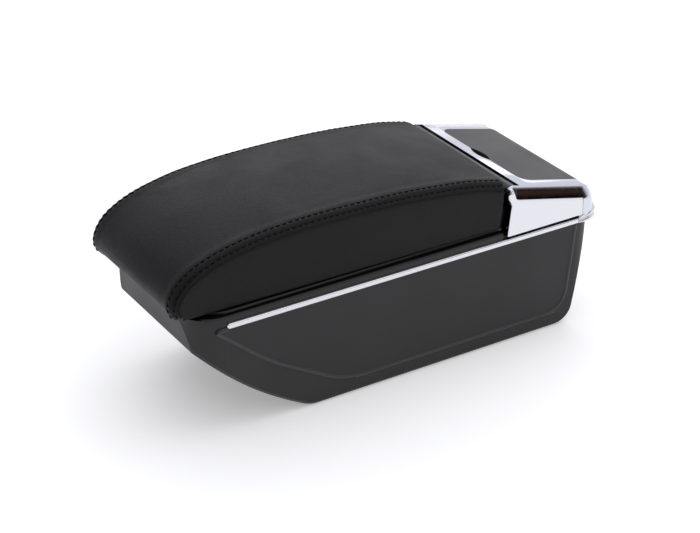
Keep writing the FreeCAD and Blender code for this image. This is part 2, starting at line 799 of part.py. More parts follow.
for side, plane_y in (("right", "ash_half"), ("left", "-pin_half - 1")):
    lug = new_sketch(tail_cap, "pin_lug_" + side, "XZ_Plane", plane_y)
    draw_circle(lug, "pin_x", "pin_z", "roll_radius")
    pad(tail_cap, lug, "pin_half + 1 - ash_half")
pin_hole = new_sketch(tail_cap, "pin_hole", "XZ_Plane", "-pin_half - fit_gap")
draw_circle(pin_hole, "pin_x", "pin_z", "pin_radius + run_gap")
pocket(tail_cap, pin_hole, "2 * (pin_half + fit_gap)", back=True)

# Tail housing, cheeks and their screws


tail_housing = new_body("tail_housing")
deck_plan = new_sketch(tail_housing, "deck_plan", "XY_Plane", "shell_top")
shell_plan(deck_plan, "(-deck_recess)", front="deck_front")
pad(tail_housing, deck_plan, "deck_thick")
housing_side = new_sketch(tail_housing, "housing_side", "XZ_Plane")
draw_outline(housing_side, [
    ("housing_front", "shell_top"),
    ("cheek_rear - 1", "shell_top"),
    ("cheek_rear - 1", cap_line("cheek_rear - 1", "cap_wall + seat_gap")),
    ("housing_front", cap_line("housing_front", "cap_wall + seat_gap")),
])
pad(tail_housing, housing_side, "2 * housing_half", both=True)
housing_room = new_sketch(tail_housing, "housing_room", "XY_Plane", "deck_top")
draw_box(
    housing_room, "housing_front + housing_wall", "-housing_half + housing_wall",
    "cheek_rear + 5", "housing_half - housing_wall",
)
pocket(tail_housing, housing_room, "60", back=True)

for side, plane_y, outward in (("right", "ear_inner - seat_gap", True), ("left", "-ear_inner + seat_gap", False)):
    relief = new_sketch(tail_housing, "ear_relief_" + side, "XZ_Plane", plane_y)
    draw_box(relief, "housing_front - 5", "notch_z", "cap_front + 5", "cap_front_z + 5")
    pocket(tail_housing, relief, "cheek_thick", back=outward)

SCREW_PLACES = [
    ("housing_front + 12", "deck_top + 20"),
    ("cheek_rear - 12", "deck_top + 10"),
]
screw_path = new_sketch(tail_housing, "screw_path", "XZ_Plane", "-cheek_half")
for across, up in SCREW_PLACES:
    draw_circle(screw_path, across, up, "screw_radius + seat_gap")
pocket(tail_housing, screw_path)


def cheek(side, plane_y, bead_y, hole_y):
    """Side panel: leaning front edge with a bead, a notch under the ear, soft shoulder."""
    body = new_body("cheek_" + side)
    outline = new_sketch(body, f"cheek_{side}_outline", "XZ_Plane", plane_y)
    lean = "cheek_lean"
    under = "cap_wall + fit_gap"
    draw_outline(outline, [
        ("cheek_front", "deck_top"),
        ("cheek_rear", "deck_top"),
        ("cheek_rear", cap_line("cheek_rear", under), "2"),
        ("cap_front + 7", cap_line("cap_front + 7", under)),
        ("cap_front + 1", "notch_z"),
        (f"cheek_front + {lean}", "notch_z"),
    ])
    pad(body, outline, "cheek_thick")
    outer_y = number("cheek_half") * (-1 if side == "right" else 1)

    def shoulder_edge(edge):
        spot = middle(edge)
        on_top = abs(spot.z - number(cap_line(str(spot.x), under))) < 0.05
        return on_top and abs(spot.y - outer_y) < 0.01 and spot.x > number("cap_front") + 7

    soften_edges(body, f"cheek_{side}_shoulder", "cheek_shoulder", shoulder_edge)
    bead = new_sketch(body, f"cheek_{side}_bead", "XZ_Plane", bead_y)
    draw_outline(bead, [
        ("cheek_front", "deck_top"),
        ("cheek_front + bead_width", "deck_top"),
        (f"cheek_front + bead_width + {lean}", "notch_z"),
        (f"cheek_front + {lean}", "notch_z"),
    ])
    pad(body, bead, "bead_rise + 1")
    holes = new_sketch(body, f"cheek_{side}_holes", "XZ_Plane", hole_y)
    for across, up in SCREW_PLACES:
        draw_circle(holes, across, up, "screw_radius + run_gap")
    pocket(body, holes, "cheek_thick * 0.6", back=True)
    return body


cheek_right = cheek("right", "cheek_half - cheek_thick", "cheek_half - 1", "cheek_half - cheek_thick")
cheek_left = cheek("left", "-cheek_half", "-cheek_half - bead_rise", "-cheek_half + cheek_thick * 0.4")


def place(part, across, deep, up):
    for axis, text in (("x", across), ("y", deep), ("z", up)):
        part.setExpression("Placement.Base." + axis, bound(text))


def screw(name, turn, across, deep, up, shank_length, shank_radius, head_radius, head_thick):
    """Screw with a flat head. The place is the head's outer face, the shank runs along the turn."""
    head = doc.addObject("Part::Cylinder", name + "_head")
    head.Placement = Placement(Vector(), turn)
    head.setExpression("Radius", bound(head_radius))
    head.setExpression("Height", bound(head_thick))
    place(head, across, deep, up)
    shank = doc.addObject("Part::Cylinder", name + "_shank")
    shank.Placement = Placement(Vector(), turn)
    shank.setExpression("Radius", bound(shank_radius))
    shank.setExpression("Height", bound(shank_length))
    place(shank, across, deep, up)
    whole = doc.addObject("Part::Fuse", name)
    whole.Base = head
    whole.Tool = shank
    return whole


def group(label, members):
    joined = doc.addObject("Part::Compound", label)
    joined.Label = label
    joined.Links = members
    return joined


LEFTWARD = Rotation(Vector(1, 0, 0), -90)
RIGHTWARD = Rotation(Vector(1, 0, 0), 90)
cheek_screw_list = []
for i, (across, up) in enumerate(SCREW_PLACES):
    head_y = "(housing_half - housing_wall - screw_head_thick)"
    reach = "screw_head_thick + housing_wall + seat_gap + cheek_thick * 0.5"
    for side, turn, sign in (("left", LEFTWARD, ""), ("right", RIGHTWARD, "-")):
        cheek_screw_list.append(screw(
            f"cheek_screw_{side}_{i + 1}", turn, across, f"{sign}{head_y}", up,
            reach, "screw_radius", "screw_head", "screw_head_thick",
        ))
cheek_screws = group("cheek_screws", cheek_screw_list)

# Ashtray: bin, flap and pin

ashtray_bin = new_body("ashtray_bin")
bin_plan = new_sketch(ashtray_bin, "bin_plan", "XY_Plane", "deck_top")
draw_box(bin_plan, "bin_front", "-bin_half", "bin_rear", "bin_half", "bin_corner")
pad(ashtray_bin, bin_plan, "bin_top - deck_top")
bin_inside = new_sketch(ashtray_bin, "bin_inside", "XY_Plane", "bin_top")
draw_box(bin_inside, "bin_front + bin_wall", "-bin_half + bin_wall", "bin_rear - bin_wall", "bin_half - bin_wall",
         "bin_corner - bin_wall")
pocket(ashtray_bin, bin_inside, "bin_top - deck_top - bin_wall")

ashtray_lid = new_body("ashtray_lid")
flap_side = new_sketch(ashtray_lid, "flap_side", "XZ_Plane")
flap_x, flap_z = inset_corner("lid_thick")
cut_z = "(pin_z + roll_radius * 0.45)"
draw_outline(flap_side, [
    ("flap_front", cap_line("flap_front", "lid_thick")),
    (flap_x, flap_z, "cap_corner - lid_thick"),
    (rear_line("round_z - 6", "lid_thick"), "round_z - 6"),
    (rear_line("round_z - 6", "0"), "round_z - 6"),
    ("cap_corner_x", "corner_z", "cap_corner"),
    ("flap_front", cap_line("flap_front")),
])
pad(ashtray_lid, flap_side, "2 * flap_half", both=True)
flap_end = new_sketch(ashtray_lid, "flap_end", "XZ_Plane")
draw_box(flap_end, "round_x + 2", "round_z - 20", "cap_foot_x + 10", cut_z)
pocket(ashtray_lid, flap_end)
roll = new_sketch(ashtray_lid, "flap_roll", "XZ_Plane")
draw_circle(roll, "pin_x", "pin_z", "roll_radius")
pad(ashtray_lid, roll, "2 * flap_half", both=True)
flap_notch = new_sketch(ashtray_lid, "flap_notch", "XY_Plane")
draw_circle(flap_notch, "flap_front + notch_depth - notch_radius", "0", "notch_radius")
pocket(ashtray_lid, flap_notch)
flap_bore = new_sketch(ashtray_lid, "flap_bore", "XZ_Plane")
draw_circle(flap_bore, "pin_x", "pin_z", "pin_radius + run_gap")
pocket(ashtray_lid, flap_bore)


def flap_corner(edge):
    spot = middle(edge)
    upright = abs(direction(edge).z) > 0.9
    at_front = abs(spot.x - number("flap_front")) < 1
    return upright and at_front and abs(spot.y) > number("flap_half") - 1


soften_edges(ashtray_lid, "flap_corners", "ash_corner - split_gap", flap_corner)

ashtray_pin = new_body("ashtray_pin")
pin_end = new_sketch(ashtray_pin, "pin_end", "XZ_Plane")
draw_circle(pin_end, "pin_x", "pin_z", "pin_radius")
pad(ashtray_pin, pin_end, "2 * pin_half", both=True)

# Hinge: rod, two fixed knuckles, and the barrel on the pan

hinge_rod = new_body("hinge_rod")
rod_end = new_sketch(hinge_rod, "rod_end", "XZ_Plane")
draw_circle(rod_end, "hinge_x", "hinge_z", "rod_radius")
pad(hinge_rod, rod_end, "2 * rod_half", both=True)


def knuckle(side, plane_y):
    body = new_body("hinge_knuckle_" + side)
    length = "knuckle_end - barrel_half - split_gap"
    tube = new_sketch(body, f"knuckle_{side}_tube", "XZ_Plane", plane_y)
    draw_circle(tube, "hinge_x", "hinge_z", "barrel_radius")
    pad(body, tube, length)
    arm = new_sketch(body, f"knuckle_{side}_arm", "XZ_Plane", plane_y)
    draw_outline(arm, [
        ("hinge_x + 1", "hinge_z - barrel_radius + 0.2"),
        ("housing_front - seat_gap", "hinge_z - 2 * barrel_radius"),
        ("housing_front - seat_gap", "hinge_z + barrel_radius * 0.2"),
        ("hinge_x + 1", "hinge_z + barrel_radius * 0.6"),
    ])
    pad(body, arm, length)
    bore = new_sketch(body, f"knuckle_{side}_bore", "XZ_Plane")
    draw_circle(bore, "hinge_x", "hinge_z", "rod_radius + run_gap")
    pocket(body, bore)
    return body


hinge_knuckle_right = knuckle("right", "barrel_half + split_gap")
hinge_knuckle_left = knuckle("left", "-knuckle_end")

# Lid pan


lid_pan = new_body("lid_pan")
pan_plan = new_sketch(lid_pan, "pan_plan", "XY_Plane", "pan_low")
draw_outline(pan_plan, [
    ("pan_front", "-pan_half", "front_corner"),
    ("pan_rear", "-pan_half"),
    ("pan_rear", "pan_half"),
    ("pan_front", "pan_half", "front_corner"),
])
pad(lid_pan, pan_plan, "pan_thick")
skirt = new_sketch(lid_pan, "skirt_plan", "XY_Plane", "pan_low - skirt_height")
skirt_front = "(opening_front + skirt_front_gap)"
skirt_half = "(opening_half - skirt_gap)"
skirt_rear = "opening_rear - opening_corner - skirt_gap"
draw_outline(skirt, [
    (skirt_rear, f"-{skirt_half}"),
    (skirt_front, f"-{skirt_half}", "opening_corner"),
    (skirt_front, skirt_half, "opening_corner"),
    (skirt_rear, skirt_half),
    (skirt_rear, f"{skirt_half} - skirt_wall"),
    (f"{skirt_front} + skirt_wall", f"{skirt_half} - skirt_wall", "opening_corner - skirt_wall"),
    (f"{skirt_front} + skirt_wall", f"-{skirt_half} + skirt_wall", "opening_corner - skirt_wall"),
    (skirt_rear, f"-{skirt_half} + skirt_wall"),
])
pad(lid_pan, skirt, "skirt_height + pan_thick / 2")
rear_wall = new_sketch(lid_pan, "rear_wall", "XZ_Plane")
draw_outline(rear_wall, [
    ("pan_rear - 0.5", "pan_low"),
    ("pan_rear + wall_thick", "pan_low"),
    ("pan_rear + wall_lean + wall_thick", "wall_top"),
    ("pan_rear + wall_lean", "wall_top"),
    ("pan_rear", "pan_top"),
    ("pan_rear - 0.5", "pan_top"),
])
pad(lid_pan, rear_wall, "2 * wall_half", both=True)
barrel_arm = new_sketch(lid_pan, "barrel_arm", "XZ_Plane")
draw_outline(barrel_arm, [
    ("pan_rear + wall_lean - 0.3", "wall_top - 2"),
    ("pan_rear + wall_lean + wall_thick - 0.3", "wall_top - 2"),
    ("hinge_x + 0.6", "hinge_z - barrel_radius * 0.8"),
    ("hinge_x - barrel_radius * 0.88", "hinge_z - 2.8"),
])
pad(lid_pan, barrel_arm, "2 * barrel_half", both=True)
barrel = new_sketch(lid_pan, "barrel", "XZ_Plane")
draw_circle(barrel, "hinge_x", "hinge_z", "barrel_radius")
pad(lid_pan, barrel, "2 * barrel_half", both=True)
barrel_bore = new_sketch(lid_pan, "barrel_bore", "XZ_Plane")
draw_circle(barrel_bore, "hinge_x", "hinge_z", "rod_radius + run_gap")
pocket(lid_pan, barrel_bore)

TRACK_STARTS = ["track_rear", "track_rear - shoe_spacing"]
tracks = new_sketch(lid_pan, "tracks", "XY_Plane", "pan_top + 1")
for start in TRACK_STARTS:
    for sign in ("-", ""):
        centre = f"{sign}track_y"
        draw_box(tracks, f"{start} - track_length", f"{centre} - track_width / 2", start,
                 f"{centre} + track_width / 2")
pocket(lid_pan, tracks, "pan_thick + 2")

UPWARD = Rotation()
buffers = []
for i, across in enumerate(("pan_front + buffer_inset", "opening_rear - buffer_rear")):
    for side, sign in (("left", ""), ("right", "-")):
        disc = doc.addObject("Part::Cylinder", f"buffer_{side}_{i + 1}")
        disc.setExpression("Radius", bound("buffer_radius"))
        disc.setExpression("Height", bound("buffer_thick - seat_gap"))
        place(disc, across, f"{sign}(pan_half - buffer_radius - fit_gap)", "pan_low - buffer_thick + seat_gap")
        buffers.append(disc)
lid_buffers = group("lid_buffers", buffers)

# Pad: leather skin, foam and board, all from one crowned form

NOSE_STEPS = 9
TAIL_STEPS = 6


def pad_stations():
    """Stations from nose to tail: x and the top height, closest where the nose bends."""
    for step in range(NOSE_STEPS + 1):
        share = round(math.sin(math.pi / 2 * (1 - step / NOSE_STEPS)), 4)
        along = f"(peak_x - (peak_x - nose_x) * {share})"
        fall = f"pow(max(0; 1 - pow({share}; 2)); 1 / nose_fullness)"
        yield along, f"(nose_z + (peak_z - nose_z) * {fall})", share
    for step in range(1, TAIL_STEPS + 1):
        share = round(1 - (1 - step / TAIL_STEPS) ** 1.5, 4)
        along = f"(peak_x + (tail_x - peak_x) * {share})"
        yield along, f"(peak_z - (peak_z - tail_z) * pow({share}; tail_fullness))", 0


def pad_solid(label, inset, low, rounded=False):
    """Crowned form lofted through its sections, smaller all round by the inset."""
    body = new_body(label)
    sections = []
    for i, (along, top, nose_share) in enumerate(pad_stations()):
        ahead = f"{inset}" if i == 0 else ("0" if i < NOSE_STEPS + TAIL_STEPS else f"-{inset}")
        blunt = round(nose_share ** 20, 4)
        lift = round(nose_share ** 30, 1)
        half = f"(nose_half + (tail_half - nose_half) * ({along} - nose_x) / (tail_x - nose_x)"
        half = f"({half} - shoulder * {blunt}) - {inset})"
        section = new_sketch(body, f"{label}_section_{i + 1}", "YZ_Plane", f"{along} + {ahead}")
        bottom = f"({low} + nose_lift * {lift})"
        crown = f"({top} - {inset})"
        turned = f"(shoulder * (1 - 0.72 * {blunt}) - {inset} * 0.8)"
        if rounded:
            upper = [(half, crown, turned), (f"-{half}", crown, turned)]
        else:
            upper = [
                (half, f"{crown} - {turned}"),
                (f"{half} - {turned}", crown),
                (f"-{half} + {turned}", crown),
                (f"-{half}", f"{crown} - {turned}"),
            ]
        draw_outline(section, [(f"-{half}", bottom), (half, bottom)] + upper)
        sections.append(section)
    loft = body.newObject("PartDesign::AdditiveLoft", label + "_loft")
    loft.Profile = sections[0]
    loft.Sections = sections[1:]
    loft.Ruled = True
    body.Tip = loft
    doc.recompute()
    lean = new_sketch(body, label + "_rear_lean", "XZ_Plane")
    rear = f"tail_x - {inset}"
    draw_outline(lean, [
        (f"{rear} - tail_lean - 10 * rear_slope", "pad_bottom - 10"),
        (f"{rear} + 20", "pad_bottom - 10"),
        (f"{rear} + 20", "tail_z + 10"),
        (f"{rear} + 10 * rear_slope", "tail_z + 10"),
    ])
    pocket(body, lean)
    return body


def cut_slab(body, name, low, high):
    """Takes away everything between two heights."""
    slab = new_sketch(body, name, "XZ_Plane")
    draw_box(slab, "nose_x - 20", low, "tail_x + 20", high)
    pocket(body, slab)


leather_cover = pad_solid("leather_cover", "0", "pad_bottom", rounded=True)
combine(leather_cover, "leather_room", "Cut", pad_solid("leather_core", "leather_thick", "skin_low"))
hem = new_sketch(leather_cover, "hem_opening", "XY_Plane", "pad_bottom - 1")
draw_box(hem, "nose_x + hem_width + nose_lift", "-nose_half + hem_width", "tail_x - hem_width", "nose_half - hem_width",
         "10")
pocket(leather_cover, hem, "leather_thick + 2", back=True)

foam_pad = pad_solid("foam_pad", "leather_thick", "skin_low")
cut_slab(foam_pad, "foam_base_cut", "skin_low - 10", "board_top")

pad_board = new_body("pad_board")
board_plan = new_sketch(pad_board, "board_plan", "XY_Plane", "skin_low")
widen = "(tail_half - nose_half) / (tail_x - nose_x)"
board_rear = "(tail_x - tail_lean - leather_thick - seat_gap)"
board_halves = [
    f"(nose_half - leather_thick - board_side + ({end} - nose_x) * {widen})"
    for end in ("board_front", board_rear)
]
draw_outline(board_plan, [
    ("board_front", f"-{board_halves[0]}", "board_corner"),
    (board_rear, f"-{board_halves[1]}"),
    (board_rear, board_halves[1]),
    ("board_front", board_halves[0], "board_corner"),
])
pad(pad_board, board_plan, "board_thick")

# Slide shoes under the board, with their screws

shoes = []
shoe_screw_list = []
board_holes = new_sketch(pad_board, "board_holes", "XY_Plane", "skin_low")
for row, start in zip(("rear", "front"), TRACK_STARTS):
    for side, sign in (("left", ""), ("right", "-")):
        body = new_body(f"slide_shoe_{row}_{side}")
        last = f"({start} - track_stop)"
        first = f"({last} - shoe_length)"
        centre = f"{sign}track_y"
        stem = new_sketch(body, f"stem_{row}_{side}", "XY_Plane", "shoe_low")
        draw_box(stem, first, f"{centre} - track_width / 2 + fit_gap", last,
                 f"{centre} + track_width / 2 - fit_gap")
        pad(body, stem, "skin_low - shoe_low")
        foot = new_sketch(body, f"foot_{row}_{side}", "XY_Plane", "shoe_low")
        draw_box(foot, first, f"{centre} - shoe_foot_width / 2", last, f"{centre} + shoe_foot_width / 2")
        pad(body, foot, "shoe_foot_thick")
        middle_x = f"({first} + shoe_length / 2)"
        head_room = new_sketch(body, f"head_room_{row}_{side}", "XY_Plane", "shoe_low")
        draw_circle(head_room, middle_x, centre, "shoe_screw_head + seat_gap")
        pocket(body, head_room, "shoe_head_thick", back=True)
        way = new_sketch(body, f"screw_way_{row}_{side}", "XY_Plane", "shoe_low")
        draw_circle(way, middle_x, centre, "shoe_screw_radius + seat_gap")
        pocket(body, way)
        draw_circle(board_holes, middle_x, centre, "shoe_screw_radius + run_gap")
        shoes.append(body)
        shoe_screw_list.append(screw(
            f"shoe_screw_{row}_{side}", UPWARD, middle_x, centre, "shoe_low",
            "skin_low - shoe_low + board_thick * 0.7", "shoe_screw_radius", "shoe_screw_head", "shoe_head_thick",
        ))
pocket(pad_board, board_holes, "board_thick * 0.8", back=True)
shoe_screws = group("shoe_screws", shoe_screw_list)

# Check every object, then write one file for each piece

doc.recompute()
NODES = [
    base_shell, trim_strip_left, trim_strip_right, rear_bumper, rim_frame, storage_mat, rear_partition, coin_tray,
    tail_cap, tail_housing, cheek_left, cheek_right, cheek_screws, ashtray_bin, ashtray_pin,
    hinge_rod, hinge_knuckle_left, hinge_knuckle_right, ashtray_lid,
    lid_pan, lid_buffers, leather_cover, foam_pad, pad_board, shoe_screws,
] + shoes
failed = [item.Name for item in doc.Objects if "Invalid" in item.State or "Error" in item.State]
if failed:
    raise RuntimeError("failed: " + ", ".join(failed))
for node in NODES:
    if node.Shape.isNull() or not node.Shape.isValid():
        raise RuntimeError(node.Label + " has a bad shape")
    node.Shape.exportStep("parts/" + node.Label + ".step")
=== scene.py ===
"""Looks of the car centre armrest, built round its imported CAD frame."""
import bpy
import json
import math
import numpy as np
from mathutils import Matrix, Vector, kdtree


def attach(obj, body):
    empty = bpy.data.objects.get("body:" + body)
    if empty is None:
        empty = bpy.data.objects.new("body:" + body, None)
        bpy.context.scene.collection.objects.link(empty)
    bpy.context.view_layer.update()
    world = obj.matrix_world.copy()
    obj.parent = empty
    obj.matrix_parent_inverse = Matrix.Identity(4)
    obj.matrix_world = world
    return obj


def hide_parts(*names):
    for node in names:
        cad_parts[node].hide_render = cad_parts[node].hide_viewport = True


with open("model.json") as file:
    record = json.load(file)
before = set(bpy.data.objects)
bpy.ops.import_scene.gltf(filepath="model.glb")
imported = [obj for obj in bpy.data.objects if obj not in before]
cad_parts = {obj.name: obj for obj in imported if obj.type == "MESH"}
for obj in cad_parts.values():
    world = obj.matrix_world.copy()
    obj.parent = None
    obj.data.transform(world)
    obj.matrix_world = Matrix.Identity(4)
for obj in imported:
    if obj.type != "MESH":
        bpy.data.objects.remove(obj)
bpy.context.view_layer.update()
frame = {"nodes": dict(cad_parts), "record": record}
nodes = frame["nodes"]

MM = 0.001
PER_METRE = 1000.0
NOISE, RANGE, MIX, BUMP = "ShaderNodeTexNoise", "ShaderNodeMapRange", "ShaderNodeMix", "ShaderNodeBump"
# Places of a Mix node's colour sockets.
FIRST, SECOND, BLENDED = 6, 7, 2


def linear(code):
    """sRGB hex to linear RGBA."""
    parts = [int(code[i:i + 2], 16) / 255 for i in (1, 3, 5)]
    return tuple(p / 12.92 if p <= 0.04045 else ((p + 0.055) / 1.055) ** 2.4 for p in parts) + (1.0,)


def wire(tree, target, sockets):
    """Gives each named socket of a node a value, another node's first output or a given output."""
    for key, value in sockets.items():
        if isinstance(value, bpy.types.Node):
            value = value.outputs[0]
        if isinstance(value, bpy.types.NodeSocket):
            tree.links.new(value, target.inputs[key])
        else:
            target.inputs[key].default_value = value


def add(tree, kind, sockets=None, **settings):
    """Adds one node with its settings, socket values and links."""
    made = tree.nodes.new(kind)
    for key, value in settings.items():
        setattr(made, key, value)
    wire(tree, made, sockets or {})
    return made


def principled(name, **sockets):
    """A new material with its tree, its shader and the point in object space."""
    mat = bpy.data.materials.new(name)
    mat.use_nodes = True
    tree = mat.node_tree
    shader = tree.nodes["Principled BSDF"]
    wire(tree, shader, {key.replace("_", " "): value for key, value in sockets.items()})
    return mat, tree, shader, add(tree, "ShaderNodeTexCoord").outputs["Object"]


def grains(point, size_mm, detail, rough=0.55):
    """Socket values of a noise whose grains are about size_mm wide."""
    return {"Vector": point, "Scale": PER_METRE / size_mm, "Detail": detail, "Roughness": rough}


def span(value, low, high, to_low, to_high):
    """Socket values of a range that stretches low..high to to_low..to_high."""
    return {"Value": value, "From Min": low, "From Max": high, "To Min": to_low, "To Max": to_high}


def relief(height, depth_mm, strength, under=None):
    """Socket values of a bump, on top of another bump where one is given."""
    values = {"Height": height, "Distance": depth_mm * MM, "Strength": strength}
    return {**values, "Normal": under} if under else values


def textured_plastic(name, base, worn, roughness, grain_mm, depth_mm, spread=0.06):
    """Moulded plastic: spark-eroded grain breaks the sheen, and a slow drift in tone shows handling."""
    mat, tree, shader, point = principled(name, Specular_IOR_Level=0.37)
    slow = add(tree, NOISE, grains(point, 60.0, 2.0))
    grain = add(tree, NOISE, grains(point, grain_mm, 2.0, 0.6))
    fine = add(tree, NOISE, grains(point, grain_mm * 0.4, 1.0, 0.6))
    wear = add(tree, RANGE, span(slow, 0.35, 0.7, 0.0, 0.6))
    colour = add(tree, MIX, {"Factor": wear, FIRST: linear(base), SECOND: linear(worn)}, data_type="RGBA")
    sheen = add(tree, RANGE, span(slow, 0.3, 0.7, roughness - spread, roughness + spread))
    coarse_bump = add(tree, BUMP, relief(grain, depth_mm, 0.5))
    fine_bump = add(tree, BUMP, relief(fine, depth_mm * 0.4, 0.4, coarse_bump))
    wire(tree, shader, {"Base Color": colour.outputs[BLENDED], "Roughness": sheen, "Normal": fine_bump})
    return mat


def bright_plate(name, base, roughness, wave_mm=18.0):
    """Plated plastic: mirror finish over a moulding that is not perfectly flat, with a faint haze."""
    mat, tree, shader, point = principled(name, Metallic=1.0, Base_Color=linear(base))
    slow = add(tree, NOISE, grains(point, wave_mm, 1.0))
    haze = add(tree, NOISE, grains(point, 5.0, 3.0))
    sheen = add(tree, RANGE, span(haze, 0.35, 0.75, roughness, roughness + 0.05))
    wire(tree, shader, {"Roughness": sheen, "Normal": add(tree, BUMP, relief(slow, 0.05, 0.25))})
    return mat


def leather(name, crease_shade_name):
    """Synthetic leather: pebbled grain with painted shade between the pebbles, fine pores, and painted shade
    that darkens the creases.
    """
    mat, tree, shader, point = principled(name, Specular_IOR_Level=0.16)
    pebble_mm, wander = 1.4, (0.7 * MM,) * 3
    warp = add(tree, NOISE, {"Vector": point, "Scale": 700.0, "Detail": 2.0})
    bent = add(tree, "ShaderNodeVectorMath", {0: warp.outputs["Color"], 1: wander, 2: point},
               operation="MULTIPLY_ADD")
    cells = add(tree, "ShaderNodeTexVoronoi", {"Vector": bent, "Scale": PER_METRE / pebble_mm},
                feature="DISTANCE_TO_EDGE")
    pebble = add(tree, RANGE, span(cells, 0.0, 0.22, 0.0, 1.0))
    pores = add(tree, NOISE, grains(point, 0.35, 2.0, 0.65))
    slow = add(tree, NOISE, grains(point, 34.0, 3.0))
    broad = add(tree, NOISE, grains(point, 9.0, 2.0))
    crease_shade = add(tree, "ShaderNodeAttribute", attribute_name=crease_shade_name)
    # Pebble tops lighter and the valleys between pebbles darker: painted shade in the grain.
    pebble_tone_valley_shade = add(tree, MIX, {"Factor": pebble, FIRST: linear("#0e0e0f"), SECOND: linear("#171718")},
                    data_type="RGBA")
    patches = add(tree, RANGE, span(slow, 0.3, 0.72, 0.0, 0.5))
    tone = add(tree, MIX, {"Factor": patches, FIRST: pebble_tone_valley_shade.outputs[BLENDED], SECOND: linear("#1a1a1c")},
               data_type="RGBA")
    # Painted shade: the crease attribute darkens the leather towards near black in the grooves.
    dark = add(tree, MIX, {"Factor": crease_shade.outputs["Fac"], FIRST: tone.outputs[BLENDED],
                           SECOND: linear("#050505")}, data_type="RGBA")
    sheen = add(tree, RANGE, span(slow, 0.3, 0.7, 0.44, 0.54))
    folds = add(tree, BUMP, relief(broad, 0.25, 0.18))
    pebbles = add(tree, BUMP, relief(pebble, 0.16, 0.6, folds))
    skin_bump = add(tree, BUMP, relief(pores, 0.03, 0.3, pebbles))
    wire(tree, shader, {"Base Color": dark.outputs[BLENDED], "Roughness": sheen, "Normal": skin_bump})
    return mat


def thread(name):
    """Bonded polyester thread: nearly black, matt, two strands twisted together."""
    mat, tree, shader, point = principled(name, Specular_IOR_Level=0.1, Roughness=0.55)
    twist = add(tree, NOISE, grains(point, 0.5, 1.0))
    colour = add(tree, MIX, {"Factor": twist, FIRST: linear("#020202"), SECOND: linear("#050505")},
                 data_type="RGBA")
    wire(tree, shader, {"Base Color": colour.outputs[BLENDED],
                        "Normal": add(tree, BUMP, relief(twist, 0.08, 0.5))})
    return mat


def rubber(name):
    """Soft rubber: dull, with dust that greys it here and there."""
    mat, tree, shader, point = principled(name)
    dust = add(tree, NOISE, grains(point, 12.0, 4.0))
    pimples = add(tree, NOISE, grains(point, 0.8, 2.0))
    colour = add(tree, MIX, {"Factor": dust, FIRST: linear("#141414"), SECOND: linear("#1e1e1d")},
                 data_type="RGBA")
    wire(tree, shader, {"Base Color": colour.outputs[BLENDED],
                        "Roughness": add(tree, RANGE, span(dust, 0.3, 0.7, 0.75, 0.9)),
                        "Normal": add(tree, BUMP, relief(pimples, 0.05, 0.4))})
    return mat


def drawn_steel(name):
    """Drawn steel: fine lines along the pin that stretch its highlight."""
    mat, tree, shader, point = principled(name, Metallic=1.0)
    pulled = add(tree, "ShaderNodeMapping", {"Vector": point, "Scale": (1.0, 0.03, 1.0)})
    lines = add(tree, NOISE, grains(pulled, 0.6, 2.0, 0.5))
    colour = add(tree, MIX, {"Factor": lines, FIRST: linear("#9a9a9c"), SECOND: linear("#b9b9bb")},
                 data_type="RGBA")
    wire(tree, shader, {"Base Color": colour.outputs[BLENDED],
                        "Roughness": add(tree, RANGE, span(lines, 0.3, 0.7, 0.25, 0.42)),
                        "Normal": add(tree, BUMP, relief(lines, 0.02, 0.4))})
    return mat


# Box: near-black with a fine grain, so its sides go a soft even grey.
SHELL = textured_plastic("abs_fine_grain_black", "#1f1f20", "#232324", 0.5, 0.7, 0.03)
# Ridge of the side panel: smoother, and painted lighter than the box as a highlight along it, so it draws a
# thin lighter line.
RIDGE = textured_plastic("abs_ridge_painted_highlight", "#343436", "#39393b", 0.42, 0.9, 0.02)
# Band under the pad: gloss black that mirrors the pad's edge.
RIM = textured_plastic("abs_polished_black", "#0c0c0d", "#0f0f10", 0.2, 3.0, 0.01, 0.04)
# Mouldings inside the box: plain and dull, so they sink into shade.
INNER = textured_plastic("abs_plain_black", "#1a1a1b", "#1e1e1f", 0.5, 0.9, 0.03)
# Hinge barrels and pan: slippery black with a narrow highlight.
HINGE = textured_plastic("pom_hinge_black", "#171616", "#1b1a1a", 0.34, 1.2, 0.012, 0.05)
# Ashtray flap: warm mid grey, the one part between black and bright.
FLAP = textured_plastic("abs_warm_grey", "#363435", "#3b393a", 0.5, 0.6, 0.03)
# Strips, bumper and cheeks: a bright mirror.
CHROME = bright_plate("chrome_plated_abs", "#d9d9de", 0.03)
# Cap of the tail: the same plating, satin, which softens what it mirrors.
CAP = bright_plate("satin_chrome_plated_abs", "#d0d2dc", 0.09, 30.0)
# Pad: soft black leather that is lightest where it faces up.
LEATHER = leather("pu_leather_black", "crease_shade")
# Stitches: blacker than the leather they hold.
THREAD = thread("bonded_thread_black")
# Mat, buffers and foam: dull and dusty.
RUBBER = rubber("soft_rubber_black")
# Pins and screws: grey metal with drawn lines.
STEEL = drawn_steel("drawn_steel")

LOOKS = {
    "shell_plastic": SHELL, "rim_black": RIM, "bright_trim": CHROME, "tail_silver": CAP, "flap_grey": FLAP,
    "cover_leather": LEATHER, "pad_foam": RUBBER, "inner_plastic": INNER, "storage_rubber": RUBBER,
    "pin_steel": STEEL,
}
for part in frame["record"]["subparts"]:
    for slot in nodes[part["node"]].material_slots:
        slot.material = LOOKS[part["material_slot"]]
for name in ("hinge_knuckle_left", "hinge_knuckle_right", "lid_pan"):
    for slot in nodes[name].material_slots:
        slot.material = HINGE


def place(name, mesh):
    """Puts a mesh into the scene as an object at the origin."""
    made = bpy.data.objects.new(name, mesh)
    bpy.context.scene.collection.objects.link(made)
    return made


